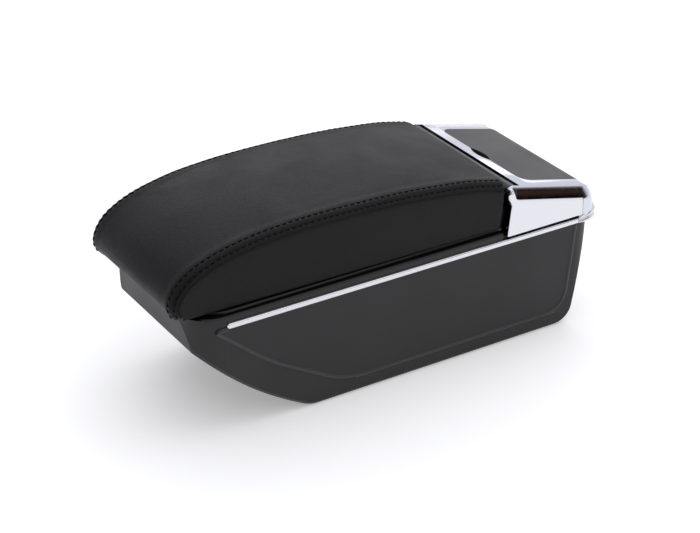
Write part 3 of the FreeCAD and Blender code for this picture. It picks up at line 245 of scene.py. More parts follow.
def make_mesh(name, points_mm, faces, material, smooth=True):
    """An object from points in millimetres."""
    mesh = bpy.data.meshes.new(name)
    mesh.from_pydata([tuple(p) for p in np.array(points_mm) * MM], [], faces)
    mesh.update()
    mesh.materials.append(material)
    if smooth:
        mesh.shade_smooth()
    return place(name, mesh)


def evaluated_mesh(made):
    """An object's mesh with its modifiers applied."""
    return bpy.data.meshes.new_from_object(made.evaluated_get(bpy.context.evaluated_depsgraph_get()))


def outward_normals(made):
    """Turns the faces outward, going by the signed volume."""
    mesh = made.data
    volume = 0.0
    for face in mesh.polygons:
        v = [mesh.vertices[k].co for k in face.vertices]
        for k in range(1, len(v) - 1):
            volume += v[0].dot(v[k].cross(v[k + 1]))
    if volume < 0:
        mesh.flip_normals()


def skin(name, rings, material, sharp_degrees=None):
    """Closed skin through equal rings of points in millimetres."""
    rings = np.array(rings, float)
    count, size = rings.shape[:2]
    faces = [(i * size + k, i * size + (k + 1) % size, (i + 1) * size + (k + 1) % size, (i + 1) * size + k)
             for i in range(count - 1) for k in range(size)]
    faces.append(tuple(range(size - 1, -1, -1)))
    faces.append(tuple((count - 1) * size + k for k in range(size)))
    made = make_mesh(name, rings[:, :, :3].reshape(-1, 3), faces, material)
    outward_normals(made)
    if sharp_degrees:
        made.data.set_sharp_from_angle(angle=math.radians(sharp_degrees))
    return made


def spline(points, count, passes):
    """Even points on a smooth curve through the given ones, and their places along it."""
    p = np.array(points, float)
    ends = np.vstack([2 * p[0] - p[1], p, 2 * p[-1] - p[-2]])
    out = []
    for i in range(1, len(ends) - 2):
        a, b, c, d = ends[i - 1:i + 3]
        for t in np.linspace(0, 1, 24, endpoint=False):
            out.append(0.5 * ((2 * b) + (c - a) * t + (2 * a - 5 * b + 4 * c - d) * t ** 2
                              + (3 * b - a - 3 * c + d) * t ** 3))
    out = np.array(out + [p[-1]])
    gaps = np.r_[0, np.cumsum(np.linalg.norm(np.diff(out, axis=0), axis=1))]
    even = np.linspace(0, gaps[-1], count)
    line = np.stack([np.interp(even, gaps, out[:, k]) for k in range(out.shape[1])], 1)
    for _ in range(passes):
        line[1:-1] = 0.25 * line[:-2] + 0.5 * line[1:-1] + 0.25 * line[2:]
    return line, even


def leftward(line):
    """Unit directions across a plane line, to its left."""
    steps = np.gradient(line, axis=0)
    steps /= np.linalg.norm(steps, axis=1)[:, None]
    return np.stack([-steps[:, 1], steps[:, 0]], 1)


# Side view of the first stitch row, x and z in mm, from under the nose to the tail.
ROW_SIDE = [
    (-174.6, 99.7), (-177.2, 102.2), (-179.0, 106.0), (-179.3, 111.0), (-177.3, 117.0), (-173.4, 123.0),
    (-168.0, 128.3), (-160.0, 133.5), (-151.0, 137.5), (-140.0, 141.2), (-114.4, 146.4), (-83.0, 149.0),
    (-51.0, 149.6), (-19.0, 149.0), (15.0, 147.2), (49.0, 143.8), (66.0, 141.4), (84.0, 137.4), (89.8, 135.8),
]
STATIONS = 330
PITCH = 4.9
BOTTOM = 98.55
# Crown over the row, its extra rise amidships, and the run over which it grows from the nose.
CROWN, CROWN_EXTRA, CROWN_RUN = 2.3, 1.3, 16.0
# Leather between the two rows, how far it falls, and the roll from there to the side seam.
WELT, WELT_FALL, ROLL, ROLL_FALL = 4.3, 2.5, 2.0, 2.7
# Side panel below the seam: its step out, its lean in, its belly and the round at its foot.
SEAM_STEP, LEAN, BELLY, FOOT_ROUND = 0.72, 0.9, 1.15, 2.6
# Rounded rear end of the pad, in this many rings.
END_ROUND, END_RINGS, END_HALF_WIDTH, END_HALF_HEIGHT, END_MIDDLE = 3.0, 6, 66.0, 18.5, 117.0
# Places in a half section of the two stitch rows.
INNER_ROW, OUTER_ROW = 29, 41

row, run = spline(ROW_SIDE, STATIONS, 30)
outward = leftward(row)
along = run / run[-1]
# The first row runs outward a little from the nose to the tail.
NOSE_HALF, WIDER_BY, NOSE_X, PAD_RUN = 56.6, 4.0, -180, 272
row_half = NOSE_HALF + WIDER_BY * (row[:, 0] - NOSE_X) / PAD_RUN

# The pad's lower edge starts behind the nose and ends ahead of the tail.
NOSE_FOOT, TURN_X, TURN_Z, TUCK, TUCK_FROM = -170.4, -138, 120, 3.1, 60
turn_at = int(np.argmin(np.abs(row[:, 0] - TURN_X) + 1000 * (row[:, 1] < TURN_Z)))
base_x = row[:, 0].copy()
start = np.arange(turn_at + 1) / turn_at
base_x[:turn_at + 1] = NOSE_FOOT + (base_x[turn_at] - NOSE_FOOT) * start ** 1.35
rear = row[:, 0] > TUCK_FROM
base_x[rear] -= TUCK * (row[rear, 0] - TUCK_FROM) / (row[-1, 0] - TUCK_FROM)


def groove(distance, width):
    """Depth share of a soft groove at a distance from its middle."""
    return math.exp(-(distance / width) ** 2)


def pad_profile(i, slack):
    """Half section at a station: rows of (x, y, z, painted crease shade), from the crown to the middle of the
    base.
    """
    crown = (CROWN + CROWN_EXTRA * math.sin(math.pi * along[i])) * min(1.0, run[i] / CROWN_RUN)
    half = row_half[i]
    pull = 0.2 + 0.22 * (0.5 + 0.5 * math.cos(2 * math.pi * run[i] / PITCH))
    rows = []

    # The last value of each row is painted shade, darkest in the grooves at the stitch rows and along the side
    # seam.
    def put(across, lift, crease_shade):
        p = row[i] + outward[i] * lift
        rows.append((p[0], across, p[1], crease_shade))

    # Crown, out to the first stitch row.
    for t in 1 - (1 - np.linspace(0, 1, 30)) ** 1.6:
        d = half - half * t
        rise = crown * (1 - t ** 2.2) + 0.35 * groove(d - 3.4, 2.6) - slack * (1 - t ** 4)
        put(half * t, rise - pull * groove(d, 0.9), 0.35 * groove(d, 0.8))
    # Welt between the rows.
    for t in np.linspace(0, 1, 13)[1:]:
        first, second = WELT * t, WELT * (1 - t)
        dip = 0.2 * groove(first, 0.9) + pull * groove(second, 0.8)
        crease_shade = 0.35 * max(groove(first, 0.7), groove(second, 0.7))
        put(half + first, 0.3 * math.sin(math.pi * t) - WELT_FALL * t ** 1.5 - dip, crease_shade)
    # Roll down to the side seam.
    for t in np.linspace(0, 1, 9)[1:]:
        dip = 1.1 * groove(1 - t, 0.36) + 0.15 * groove(t, 0.25)
        rolled = ROLL * math.sin(math.pi * t / 2) + 0.35 * math.sin(math.pi * t)
        put(half + WELT + rolled - 0.8 * dip, -WELT_FALL - ROLL_FALL * t, groove(1 - t, 0.42))
    # Side panel, bellied by the foam.
    seam_x, seam_y, seam_z, _ = rows[-1]
    seam_y += SEAM_STEP
    height = max(seam_z - (BOTTOM + FOOT_ROUND), 0.2)
    belly = (BELLY - 0.5 * slack) * min(1.0, height / 30.0)
    for t in np.linspace(0, 1, 22)[1:]:
        share = t ** 1.15
        drop = height * share
        y = seam_y - LEAN * share + belly * math.sin(math.pi * share ** 0.75) - 0.65 * groove(drop, 1.0)
        rows.append((seam_x + (base_x[i] - seam_x) * share, y, seam_z - drop, groove(drop, 1.1)))
    # Rounded foot and flat base.
    foot_x, foot_y, foot_z, _ = rows[-1]
    for turn in np.linspace(0, math.pi / 2, 6)[1:]:
        y = foot_y - FOOT_ROUND * (1 - math.cos(turn))
        rows.append((foot_x, y, foot_z - (foot_z - BOTTOM) * math.sin(turn), 0.0))
    for t in np.linspace(0, 1, 7)[1:]:
        rows.append((foot_x, (foot_y - FOOT_ROUND) * (1 - t), BOTTOM, 0.0))
    return np.array(rows)


def pad_loops(slack):
    """The pad's sections closed into loops, with its rear end rounded over."""
    rings = []
    for i in range(STATIONS):
        half = pad_profile(i, slack)
        other = half[-2:0:-1].copy()
        other[:, 1] *= -1
        rings.append(np.vstack([half, other]))
    last = rings[-1]
    for k in range(1, END_RINGS + 1):
        turn = math.pi / 2 * k / END_RINGS
        inset = END_ROUND * (1 - math.cos(turn))
        ring = last.copy()
        ring[:, 0] += END_ROUND * math.sin(turn)
        ring[:, 1] *= 1 - inset / END_HALF_WIDTH
        ring[:, 2] = END_MIDDLE + (ring[:, 2] - END_MIDDLE) * (1 - inset / END_HALF_HEIGHT)
        ring[:, 3] *= 1 - k / END_RINGS
        rings.append(ring)
    return np.array(rings)


def pad_skin(name, rings):
    """Leather skin through the pad's loops, which carries the painted crease shade: how deep each point lies in
    a crease.
    """
    made = skin(name, rings, LEATHER)
    shade = made.data.attributes.new("crease_shade", "FLOAT", "POINT")
    shade.data.foreach_set("value", rings[:, :, 3].reshape(-1).astype(np.float32))
    return made


def held_share(p):
    """How firmly the cloth is held at a point: at the foot and rear end, and less along the seams."""
    if p.z < (BOTTOM + 5) * MM or p.x > 0.086:
        return 1.0
    seam_y = 0.0625 + 0.004 * (p.x + 0.18) / 0.272
    return 0.8 if abs(abs(p.y) - seam_y) < 0.003 and p.z > 0.104 else 0.0


def swell(rings):
    """Inflates a coarse copy as cloth under pressure and hands its movement to the fine form."""
    last_frame, most_move, neighbours = 20, 2.2 * MM, 5
    coarse = pad_skin("pad_blank", rings[::4, ::2])
    remesh = coarse.modifiers.new("even", "REMESH")
    remesh.mode = "VOXEL"
    remesh.voxel_size = 5 * MM
    even = evaluated_mesh(coarse)
    coarse.modifiers.clear()
    coarse.data = even
    rest = np.array([v.co for v in even.vertices])
    group = coarse.vertex_groups.new(name="held")
    for v in even.vertices:
        group.add([v.index], held_share(v.co), "REPLACE")
    cloth = coarse.modifiers.new("cloth", "CLOTH")
    for key, value in (("quality", 5), ("mass", 0.35), ("tension_stiffness", 25), ("compression_stiffness", 25),
                       ("bending_stiffness", 2.0), ("use_pressure", True), ("uniform_pressure_force", 4.0),
                       ("vertex_group_mass", "held")):
        setattr(cloth.settings, key, value)
    cloth.settings.effector_weights.gravity = 0
    cloth.point_cache.frame_start = 1
    cloth.point_cache.frame_end = last_frame
    for f in range(1, last_frame + 1):
        bpy.context.scene.frame_set(f)
    moved = np.array([v.co for v in evaluated_mesh(coarse).vertices]) - rest
    length = np.linalg.norm(moved, axis=1)
    moved *= (most_move * np.tanh(length / most_move) / np.maximum(length, 1e-9))[:, None]
    near_points = kdtree.KDTree(len(rest))
    for i, p in enumerate(rest):
        near_points.insert(p, i)
    near_points.balance()
    flat = rings[:, :, :3].reshape(-1, 3) * MM
    shift = np.zeros_like(flat)
    for i, p in enumerate(flat):
        near = near_points.find_n(p, neighbours)
        weights = np.array([1 / (d + 2 * MM) ** 2 for _, _, d in near])
        shift[i] = (moved[[j for _, j, _ in near]] * weights[:, None]).sum(0) / weights.sum()
    bpy.data.objects.remove(coarse)
    bpy.context.scene.frame_set(1)
    out = rings.copy()
    out[:, :, :3] = ((flat + shift) / MM).reshape(rings.shape[0], rings.shape[1], 3)
    out[:, :, 2] = np.maximum(out[:, :, 2], BOTTOM)
    return out


# The full form starts a little slack, and the cloth run fills it out.
SLACK = 1.2
loops = swell(pad_loops(SLACK))
cover = pad_skin("pad_cover", loops)
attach(cover, "pad")
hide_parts("leather_cover", "foam_pad")


def stitch_group():
    """Geometry Nodes: even stitches along a curve, each a bit of thread pulled into the leather."""
    tree = bpy.data.node_groups.new("stitch_row", "GeometryNodeTree")
    face = tree.interface
    face.new_socket("Geometry", in_out="INPUT", socket_type="NodeSocketGeometry")
    for label, value in (("Pitch", PITCH * MM), ("Stitch Length", 3.5 * MM), ("Thread Radius", 0.55 * MM),
                         ("Wander", 0.12 * MM)):
        face.new_socket(label, in_out="INPUT", socket_type="NodeSocketFloat").default_value = value
    face.new_socket("Seed", in_out="INPUT", socket_type="NodeSocketInt").default_value = 7
    face.new_socket("Material", in_out="INPUT", socket_type="NodeSocketMaterial")
    face.new_socket("Geometry", in_out="OUTPUT", socket_type="NodeSocketGeometry")
    given = add(tree, "NodeGroupInput").outputs
    even = add(tree, "GeometryNodeResampleCurve", {"Curve": given["Geometry"], "Length": given["Pitch"]},
               mode="LENGTH")
    turned = add(tree, "FunctionNodeAlignRotationToVector", {"Vector": add(tree, "GeometryNodeInputTangent")},
                 axis="Z")
    chance = add(tree, "FunctionNodeRandomValue", {"Seed": given["Seed"]}, data_type="FLOAT_VECTOR")
    centred = add(tree, "ShaderNodeVectorMath", {0: chance, 1: (0.5, 0.5, 0.5)}, operation="SUBTRACT")
    offset = add(tree, "ShaderNodeVectorMath", {0: centred, "Scale": given["Wander"]}, operation="SCALE")
    points = add(tree, "GeometryNodeSetPosition", {"Geometry": even, "Offset": offset})
    bead = add(tree, "GeometryNodeMeshUVSphere", {"Segments": 10, "Rings": 8, "Radius": 1.0})
    half = add(tree, "ShaderNodeMath", {0: given["Stitch Length"], 1: 0.5}, operation="MULTIPLY")
    size = add(tree, "ShaderNodeCombineXYZ", {0: given["Thread Radius"], 1: given["Thread Radius"], 2: half})
    stitches = add(tree, "GeometryNodeInstanceOnPoints", {"Points": points, "Instance": bead,
                                                          "Rotation": turned, "Scale": size})
    real = add(tree, "GeometryNodeRealizeInstances", {0: stitches})
    dressed = add(tree, "GeometryNodeSetMaterial", {"Geometry": real, "Material": given["Material"]})
    add(tree, "NodeGroupOutput", {0: dressed})
    return tree


STITCH = stitch_group()
STITCH_INPUTS = {item.name: item.identifier for item in STITCH.interface.items_tree if item.in_out == "INPUT"}
THREAD_LIFT = 0.42


def stitch_row(name, column, sign):
    """Stitches along one column of the pad's surface, from past the nose to just short of the tail."""
    size = loops.shape[1]
    index = column if sign > 0 else (size - column) % size
    sides = loops[4:STATIONS - 3, :, :3]
    line = sides[:, index]
    across = sides[:, (index + 1) % size] - sides[:, index - 1]
    up = np.cross(np.gradient(line, axis=0), across)
    up /= np.linalg.norm(up, axis=1)[:, None]
    if up[len(up) // 2][2] < 0:
        up = -up
    path = (line + up * THREAD_LIFT) * MM
    curve = bpy.data.curves.new(name, "CURVE")
    curve.dimensions = "3D"
    piece = curve.splines.new("POLY")
    piece.points.add(len(path) - 1)
    piece.points.foreach_set("co", np.c_[path, np.ones(len(path))].reshape(-1))
    guide = place(name + "_guide", curve)
    holder = guide.modifiers.new("stitches", "NODES")
    holder.node_group = STITCH
    holder[STITCH_INPUTS["Material"]] = THREAD
    holder[STITCH_INPUTS["Seed"]] = 11 + column + sign
    mesh = evaluated_mesh(guide)
    bpy.data.objects.remove(guide)
    mesh.shade_smooth()
    made = place(name, mesh)
    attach(made, "pad")


for label, column in (("inner", INNER_ROW), ("outer", OUTER_ROW)):
    for side, sign in (("left", 1), ("right", -1)):
        stitch_row(f"stitches_{label}_{side}", column, sign)


# Tail, in mm: foot of its walls, slope of its top and a point on it, the walls, the rear round and the ear.
TAIL_FOOT, SLOPE, TOP_POINT, TOP_START = 92.6, math.radians(13.5), (106.1, 128.8), 101.5
TAIL_FRONT, TAIL_NECK, TAIL_REAR, TAIL_HALF = 93.2, (95.9, 116.6), 177.2, 69.1
ROUND, ROUND_RADIUS, ROUND_FROM, ROUND_TO, ROUND_BLEND = (160.216, 99.35), 16.0, 76.5, 7.0, 50.0
EAR, EAR_RADIUS, EAR_FROM, EAR_TO, EAR_BLEND = (98.9, 124.3), 6.2, 222, 84, 2.5
REAR_CORNER, FRONT_CORNER = 11.0, 1.3
# Shoulder of the tail seen from behind: depth below the top, inset from the side.
SHOULDER = [(0, 5.4), (0.35, 4.55), (0.9, 4.05), (1.8, 3.6), (3.2, 3.05), (5.0, 2.32), (6.8, 1.6), (8.6, 0.95),
            (10.4, 0.4), (12.6, 0.0)]
# Room inside the tail, the flap's opening and the seam between the cap and the cheeks.
ROOM_HALF, ROOM_FRONT, ROOM_REAR, CAP_WALL = 63.4, 110, 171.5, 3.0
OPENING_HALF, OPENING_FRONT, OPENING_REAR, OPENING_CORNER = 53.4, 116.1, 171.3, 9.0
GAP_RADIUS, GAP_REACH, GAP_TURN = 24.07, 3.5, 0.545
SEAM_X, SEAM_FRONT, SEAM_DROP, SEAM_HALF_GAP = 162.0, 100.5, 3.2, 0.15
# Limits well outside the tail, for the blocks that carve it.
FAR_FRONT, FAR_REAR, FAR_DOWN, FAR_UP, FAR_SIDE = 80, 200, 80, 150, 90


def cap_height(x):
    """Height of the tail's sloping top."""
    return TOP_POINT[1] - math.tan(SLOPE) * (x - TOP_POINT[0])


def on_circle(centre, radius, degrees):
    """Point and outward direction on a circle in the side view, the angle from the rear."""
    n = (math.cos(math.radians(degrees)), math.sin(math.radians(degrees)))
    return (centre[0] + radius * n[0], centre[1] + radius * n[1]), n


def even_run(first, last, count):
    """Even points from one to another."""
    return [tuple(np.array(first) * (1 - t) + np.array(last) * t) for t in np.linspace(0, 1, count)]


def tail_outline():
    """Side view of the tail: point, outward direction, and its shares of the rear and front corners."""
    rows = [(p, (-1.0, 0.0), 0.0, 1.0) for p in even_run((TAIL_FRONT, TAIL_FOOT), TAIL_NECK, 8)]
    for a in np.linspace(EAR_FROM, EAR_TO, 14):
        p, n = on_circle(EAR, EAR_RADIUS, a)
        rows.append((p, n, 0.0, (EAR[1] + EAR_RADIUS - p[1]) / EAR_BLEND if n[1] > 0.9 else 1.0))
    top = (math.sin(SLOPE), math.cos(SLOPE))
    meet = (ROUND[0] + ROUND_RADIUS * top[0], ROUND[1] + ROUND_RADIUS * top[1])
    before = (meet[0] - 1.5, meet[1] + 1.5 * math.tan(SLOPE))
    rows += [(p, top, 0.0, 0.0) for p in even_run((TOP_START, cap_height(TOP_START)), before, 26)]
    for a in np.linspace(ROUND_FROM, ROUND_TO, 22):
        p, n = on_circle(ROUND, ROUND_RADIUS, a)
        rows.append((p, n, min(1.0, (ROUND_FROM - a) / ROUND_BLEND), 0.0))
    down = even_run(rows[-1][0], (TAIL_REAR, TAIL_FOOT), 6)[1:]
    return rows + [(p, (1.0, 0.0), 1.0, 0.0) for p in down]


def tail_form():
    """Closed outer form of the tail: its side view, rounded over towards both sides."""
    rings = []
    for k, top in enumerate(SHOULDER):
        turn = math.pi / 2 * k / (len(SHOULDER) - 1)
        corner = (1 - math.cos(turn), 1 - math.sin(turn))
        ring = []
        for (px, pz), (nx, nz), rear_share, front_share in outline:
            round_share = REAR_CORNER * rear_share + FRONT_CORNER * front_share
            flat_share = 1 - rear_share - front_share
            depth, inset = (flat * flat_share + bend * round_share for flat, bend in zip(top, corner))
            ring.append((px - nx * depth, TAIL_HALF - inset, max(pz - nz * depth, TAIL_FOOT)))
        rings.append(ring)
    mirrored = [[(x, -y, z) for x, y, z in ring] for ring in reversed(rings)]
    return skin("tail_form", mirrored + rings, CHROME)


def prism(name, corners, low, high, plan=False):
    """Closed block from an outline in the side view, or in plan."""
    count = len(corners)
    points = [(a, b, h) if plan else (a, h, b) for h in (low, high) for a, b in corners]
    faces = [tuple(range(count)), tuple(range(2 * count - 1, count - 1, -1))]
    faces += [(j, j + count, (j + 1) % count + count, (j + 1) % count) for j in range(count)]
    made = make_mesh(name, points, faces, CHROME, smooth=False)
    outward_normals(made)
    return made


def carve(name, form, tools, material, keep=False):
    """The form less the tools, or what it shares with them, as a new plain mesh."""
    work = place(name, form.data.copy())
    for tool in tools:
        cut = work.modifiers.new("carve", "BOOLEAN")
        cut.operation = "INTERSECT" if keep else "DIFFERENCE"
        cut.solver = "EXACT"
        cut.object = tool
    mesh = evaluated_mesh(work)
    bpy.data.objects.remove(work)
    mesh.materials.clear()
    mesh.materials.append(material)
    mesh.shade_smooth()
    mesh.set_sharp_from_angle(angle=math.radians(28))
    return place(name, mesh)


def seam_block(name, gap):
    """Everything under and ahead of the seam between cap and cheeks."""
    at, drop = SEAM_X + gap, SEAM_DROP - gap
    front_height = cap_height(SEAM_FRONT) - drop
    return prism(name, [(FAR_FRONT, FAR_DOWN), (at, FAR_DOWN), (at, cap_height(at) - drop),
                        (SEAM_FRONT, front_height), (FAR_FRONT, front_height)], -FAR_SIDE, FAR_SIDE)


outline = tail_outline()
form = tail_form()
hollow = prism("hollow", [(ROOM_FRONT, 85), (ROOM_REAR, 85), (ROOM_REAR, 106), (166.5, cap_height(166.5) - 3.2),
                          (ROOM_FRONT, cap_height(ROOM_FRONT) - CAP_WALL)], -ROOM_HALF, ROOM_HALF)
front_room = prism("front_room", [(FAR_FRONT, 85), (112, 85), (112, cap_height(112) - CAP_WALL),
                                  (TOP_POINT[0], TOP_POINT[1] - CAP_WALL), (TOP_POINT[0], 140),
                                  (FAR_FRONT, 140)], -ROOM_HALF, ROOM_HALF)
chord = [(OPENING_FRONT - GAP_REACH + GAP_RADIUS * (1 - math.cos(t)), GAP_RADIUS * math.sin(t))
         for t in np.linspace(-GAP_TURN, GAP_TURN, 17)]
corner_left = [(OPENING_FRONT + OPENING_CORNER * (1 - math.cos(t)),
                OPENING_HALF - OPENING_CORNER * (1 - math.sin(t))) for t in np.linspace(0, math.pi / 2, 9)]
corner_right = [(x, -y) for x, y in reversed(corner_left)]
opening = prism("opening", [(OPENING_REAR, -OPENING_HALF), *corner_right, *chord, *corner_left,
                            (OPENING_REAR, OPENING_HALF)], 85, 140, plan=True)
lip = prism("lip", [(168, 104.94), (190, 104.94), (190, 140), (168, 140)], -OPENING_HALF, OPENING_HALF)
cheek_zone = seam_block("cheek_zone", -SEAM_HALF_GAP)
cap_zone = seam_block("cap_zone", SEAM_HALF_GAP)

cap_piece = carve("tail_cap_skin", form, [hollow, front_room, opening, lip, cap_zone], CAP)
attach(cap_piece, "base")
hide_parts("tail_cap")
cheek_pair = carve("cheek_pair", form, [hollow, front_room], CHROME)
for side, low, high in (("left", 10, FAR_SIDE), ("right", -FAR_SIDE, -10)):
    half_zone = prism("half_zone", [(FAR_FRONT, FAR_DOWN), (FAR_REAR, FAR_DOWN), (FAR_REAR, FAR_UP),
                                    (FAR_FRONT, FAR_UP)], low, high)
    cheek_piece = carve(f"cheek_skin_{side}", cheek_pair, [cheek_zone, half_zone], CHROME, keep=True)
    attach(cheek_piece, "base")
    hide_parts(f"cheek_{side}")
    bpy.data.objects.remove(half_zone)
for scrap in (form, hollow, front_room, opening, lip, cheek_zone, cap_zone, cheek_pair):
    bpy.data.objects.remove(scrap)


# Bumper in plan: its arms and how fast they deepen, its faces and the corners between them.
ARM_START, ARM_END, ARM_GROWTH = 158, 164, 12.0
OUTER_SIDE, OUTER_REAR, OUTER_CORNER = 70.2, 181.5, 16.2
INNER_SIDE, INNER_REAR, INNER_CORNER = 68.1, 173.6, 14.0
# Its two lobes: middle height, half height and bulge, and the foot and height of both together.
LOBES = [(87.6, 2.15, 1.7), (91.8, 2.1, 1.7)]
LOBES_FOOT, LOBES_TALL = 85.45, 8.45
# The same foot and height at the arms' ends, where the bead runs into the strips, and their growth.
ARM_FOOT, FOOT_DROP, ARM_TALL, TALL_GROWTH = 86.2, 0.75, 4.4, 4.05
SHARP_DEGREES = 50


def bumper_path():
    """Plan of the bumper from one side round to the other: outer point, inner point, direction."""
    rows = [((x, OUTER_SIDE), (x, INNER_SIDE), (0.0, 1.0)) for x in range(ARM_START, ARM_END + 1)]
    for a in np.radians(np.linspace(90, 0, 15)):
        c, s = math.cos(a), math.sin(a)
        outer = (OUTER_REAR - OUTER_CORNER * (1 - c), OUTER_SIDE - OUTER_CORNER * (1 - s))
        inner = (INNER_REAR - INNER_CORNER * (1 - c), INNER_SIDE - INNER_CORNER * (1 - s))
        rows.append((outer, inner, (c, s)))
    rows += [((OUTER_REAR, y), (INNER_REAR, y), (1.0, 0.0)) for y in (40.0, 20.0, 0.0)]
    return rows + [tuple((x, -y) for x, y in spot) for spot in rows[-2::-1]]


def bumper():
    """Double bead round the tail: two rounded lobes with a groove between them."""
    lobes = [(bulge * (1 - math.sqrt(1 - t * t)), (middle + half * t - LOBES_FOOT) / LOBES_TALL)
             for middle, half, bulge in LOBES for t in np.linspace(-0.97, 0.97, 13)]
    sections = []
    for (ox, oy), (ix, iy), (nx, ny) in bumper_path():
        share = min(1.0, max(0.0, (ox - ARM_START) / ARM_GROWTH))
        share = share * share * (3 - 2 * share)
        low, tall = ARM_FOOT - FOOT_DROP * share, ARM_TALL + TALL_GROWTH * share
        face = [(ox - nx * depth, oy - ny * depth, low + up * tall) for depth, up in lobes]
        sections.append([(ix, iy, low), *face, (ix, iy, low + tall)])
    return skin("bumper_beads", sections, CHROME, SHARP_DEGREES)


bumper_piece = bumper()
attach(bumper_piece, "base")
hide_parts("rear_bumper")


# Bright strips: nose, end ahead of the bumper, middle height, half height, bulge and backing.
STRIP_NOSE, STRIP_END, STRIP_HEIGHT = -140.0, 157.9, 88.4
STRIP_HALF, STRIP_BULGE, STRIP_BACKING = 2.1, 1.8, 0.12
STRIP_ROUND = [0, 0.15, 0.5, 1.0, 1.6, 2.2]
# Top of the box: half width at its front, how much wider it grows, and from where over what length.
TOP_HALF, TOP_WIDENING, TOP_FRONT, TOP_RUN = 66.0, 2.0, -165.0, 338.5
# Raised side panel: its outline as corners (x, z, radius), and the draft of the box's sides.
PANEL_CORNERS = [(-139.0, 86.0, 0), (-148.2, 85.8, 1.2), (-106.3, 49.4, 200), (-45.1, 14.0, 75),
                 (150.5, 14.0, 20), (156.5, 85.6, 0)]
DRAFT, DRAFT_TOP = math.tan(math.radians(1.7)), 90.5
RIDGE_HALF, RIDGE_LIFT, RIDGE_RISE, RIDGE_ROOT = 1.5, 0.72, 0.95, -0.6


def half_at(x):
    """Half width of the box top at a place along it."""
    return TOP_HALF + TOP_WIDENING * (x - TOP_FRONT) / TOP_RUN


def side_at(x, z):
    """Half width of the drafted box at a place on its side."""
    return half_at(x) - (DRAFT_TOP - z) * DRAFT


def strip(side, sign):
    """Bright strip, softly crowned, with a small rounded end near the nose."""
    sections = []
    for x in [STRIP_NOSE + e for e in STRIP_ROUND] + list(np.linspace(-130, STRIP_END, 24)):
        grow = math.sqrt(max(0.02, 1 - (1 - min(1.0, (x - STRIP_NOSE) / STRIP_ROUND[-1])) ** 2))
        face = []
        for t in np.linspace(-1, 1, 15):
            bulge = STRIP_BULGE * (1 - abs(t) ** 7) ** 0.5 * grow
            face.append((x, sign * (half_at(x) + STRIP_BACKING + bulge), STRIP_HEIGHT + STRIP_HALF * grow * t))
        back = [(x, sign * half_at(x), STRIP_HEIGHT + STRIP_HALF * grow * t) for t in (-1, 1)]
        sections.append([back[0], *face, back[1]])
    made = skin(f"trim_strip_skin_{side}", sections, CHROME, SHARP_DEGREES)
    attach(made, "base")
    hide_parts(f"trim_strip_{side}")


def rounded_run(corners):
    """Even points along straight runs joined by arcs."""
    pts = [np.array(c[:2], float) for c in corners]
    out = [pts[0]]
    for i in range(1, len(pts) - 1):
        into = (pts[i] - pts[i - 1]) / np.linalg.norm(pts[i] - pts[i - 1])
        away = (pts[i + 1] - pts[i]) / np.linalg.norm(pts[i + 1] - pts[i])
        turn = math.acos(float(np.clip(into @ away, -1, 1)))
        reach = corners[i][2] * math.tan(turn / 2)
        for t in np.linspace(0, 1, 25):
            a = pts[i] - into * reach * (1 - t)
            b = pts[i] + away * reach * t
            out.append(a * (1 - t) + b * t)
    out.append(pts[-1])
    return spline(out, 150, 0)[0]


def panel_bead(side, sign):
    """Soft ridge that frames the raised side panel, moulded with the box."""
    path = rounded_run(PANEL_CORNERS)
    sections = []
    for (x, z), (ax, az) in zip(path, leftward(path)):
        ring = []
        for t in np.linspace(-1, 1, 9):
            px, pz = x + ax * RIDGE_HALF * t, z + az * RIDGE_HALF * t
            y = side_at(px, pz) + RIDGE_LIFT + RIDGE_RISE * math.cos(math.pi / 2 * t)
            ring.append((px, sign * y, pz))
        for t in (1, -1):
            px, pz = x + ax * RIDGE_HALF * t, z + az * RIDGE_HALF * t
            ring.append((px, sign * (side_at(px, pz) + RIDGE_ROOT), pz))
        sections.append(ring)
    made = skin(f"panel_bead_{side}", sections, RIDGE, SHARP_DEGREES)
    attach(made, "base")


for side, sign in (("left", 1), ("right", -1)):
    strip(side, sign)
for side, sign in (("left", 1), ("right", -1)):
    panel_bead(side, sign)


def floor_material():
    """Studio floor: matt white that glows a little, so the ground under the box stays light."""
    mat, tree, shader, point = principled("studio_floor", Roughness=0.85, Specular_IOR_Level=0.2,
                                          Emission_Strength=0.3, Emission_Color=(1, 1, 1, 1))
    drift = add(tree, NOISE, grains(point, 900.0, 2.0))
    colour = add(tree, MIX, {"Factor": drift, FIRST: linear("#f6f6f6"), SECOND: linear("#f9f9f9")},
                 data_type="RGBA")
    wire(tree, shader, {"Base Color": colour.outputs[BLENDED]})
    return mat


FLOOR_HALF_MM = 6000.0
floor = make_mesh("floor", [(-FLOOR_HALF_MM, -FLOOR_HALF_MM, 0), (FLOOR_HALF_MM, -FLOOR_HALF_MM, 0),
                            (FLOOR_HALF_MM, FLOOR_HALF_MM, 0), (-FLOOR_HALF_MM, FLOOR_HALF_MM, 0)],
                  [(0, 1, 2, 3)], floor_material(), smooth=False)


def area_light(name, spot, size, power):
    """Soft white lamp in metres and watts, aimed at the middle of the armrest."""
    data = bpy.data.lights.new(name, "AREA")
    data.shape = "RECTANGLE"
    data.size, data.size_y = size
    data.energy = power
    lamp = place(name, data)
    lamp.location = spot
    lamp.rotation_euler = (Vector((0, 0, 0.1)) - Vector(spot)).to_track_quat("-Z", "Y").to_euler()


area_light("soft_top", (0.1, 0.2, 1.9), (2.4, 2.0), 8)
area_light("soft_front", (0.3, -1.9, 0.8), (1.6, 0.8), 3)
area_light("soft_back", (0.9, 1.7, 1.0), (1.8, 1.0), 5)


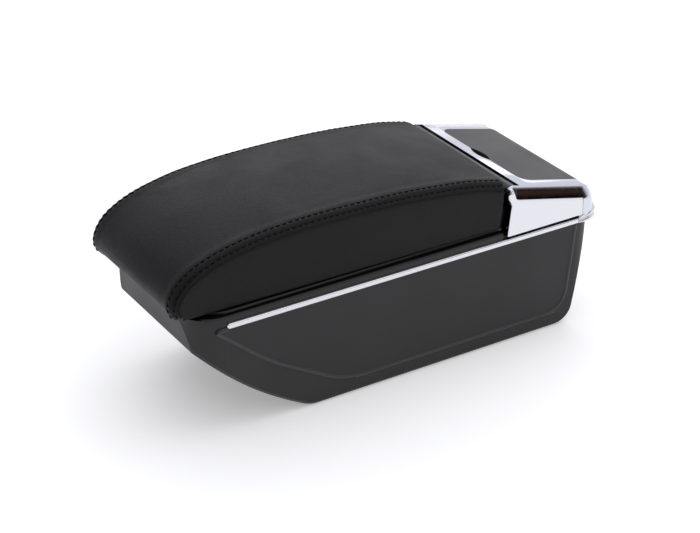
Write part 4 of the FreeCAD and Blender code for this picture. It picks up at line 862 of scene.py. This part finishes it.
def studio_world():
    """Light room, dim towards the nose, with a dark warm wall in front that the tail's shoulder mirrors."""
    world = bpy.data.worlds.new("studio")
    world.use_nodes = True
    tree = world.node_tree
    sky = add(tree, "ShaderNodeTexCoord").outputs["Generated"]
    toward = add(tree, "ShaderNodeSeparateXYZ", {0: sky}).outputs
    front = add(tree, RANGE, span(toward["Y"], -0.7, -0.35, 1.0, 0.0))
    level = add(tree, RANGE, span(toward["Z"], 0.4, 0.62, 1.0, 0.0))
    wall = add(tree, "ShaderNodeMath", {0: front, 1: level}, operation="MULTIPLY")
    dim = add(tree, RANGE, span(toward["X"], -0.95, -0.15, 0.85, 0.0))
    climb = add(tree, RANGE, span(toward["Z"], 0.06, 0.3, 0.0, 1.0))
    room = add(tree, MIX, {"Factor": dim, FIRST: linear("#f2f3f9"), SECOND: linear("#2c2c30")},
               data_type="RGBA")
    warm = add(tree, MIX, {"Factor": climb, FIRST: linear("#120e0d"), SECOND: linear("#6b5047")},
               data_type="RGBA")
    colour = add(tree, MIX, {"Factor": wall, FIRST: room.outputs[BLENDED], SECOND: warm.outputs[BLENDED]},
                 data_type="RGBA")
    wire(tree, tree.nodes["Background"], {"Color": colour.outputs[BLENDED], "Strength": 1.0})
    return world


bpy.context.scene.world = studio_world()

# Camera fitted to the photo: focal length in pixels, width of the picture, sensor width in mm.
FOCAL_PIXELS, PICTURE_WIDTH, SENSOR = 1925.3, 700.0, 36.0
azimuth, elevation, roll = (math.radians(a) for a in (-32.14, 28.57, 0.04))
distance, target = 1.4283, Vector((0.00017, 0.0, 0.0633))
data = bpy.data.cameras.new("camera")
data.sensor_width = SENSOR
data.sensor_fit = "HORIZONTAL"
data.lens = FOCAL_PIXELS * SENSOR / PICTURE_WIDTH
data.clip_end = 50.0
camera = place("camera", data)
back = Vector((math.sin(azimuth) * math.cos(elevation), -math.cos(azimuth) * math.cos(elevation),
               math.sin(elevation)))
camera.location = target + back * distance
camera.rotation_euler = (back.to_track_quat("Z", "Y").to_matrix() @ Matrix.Rotation(-roll, 3, "Z")).to_euler()
bpy.context.scene.camera = camera

view = bpy.context.scene.view_settings
view.view_transform = "Standard"
view.look = "None"

bpy.context.view_layer.update()
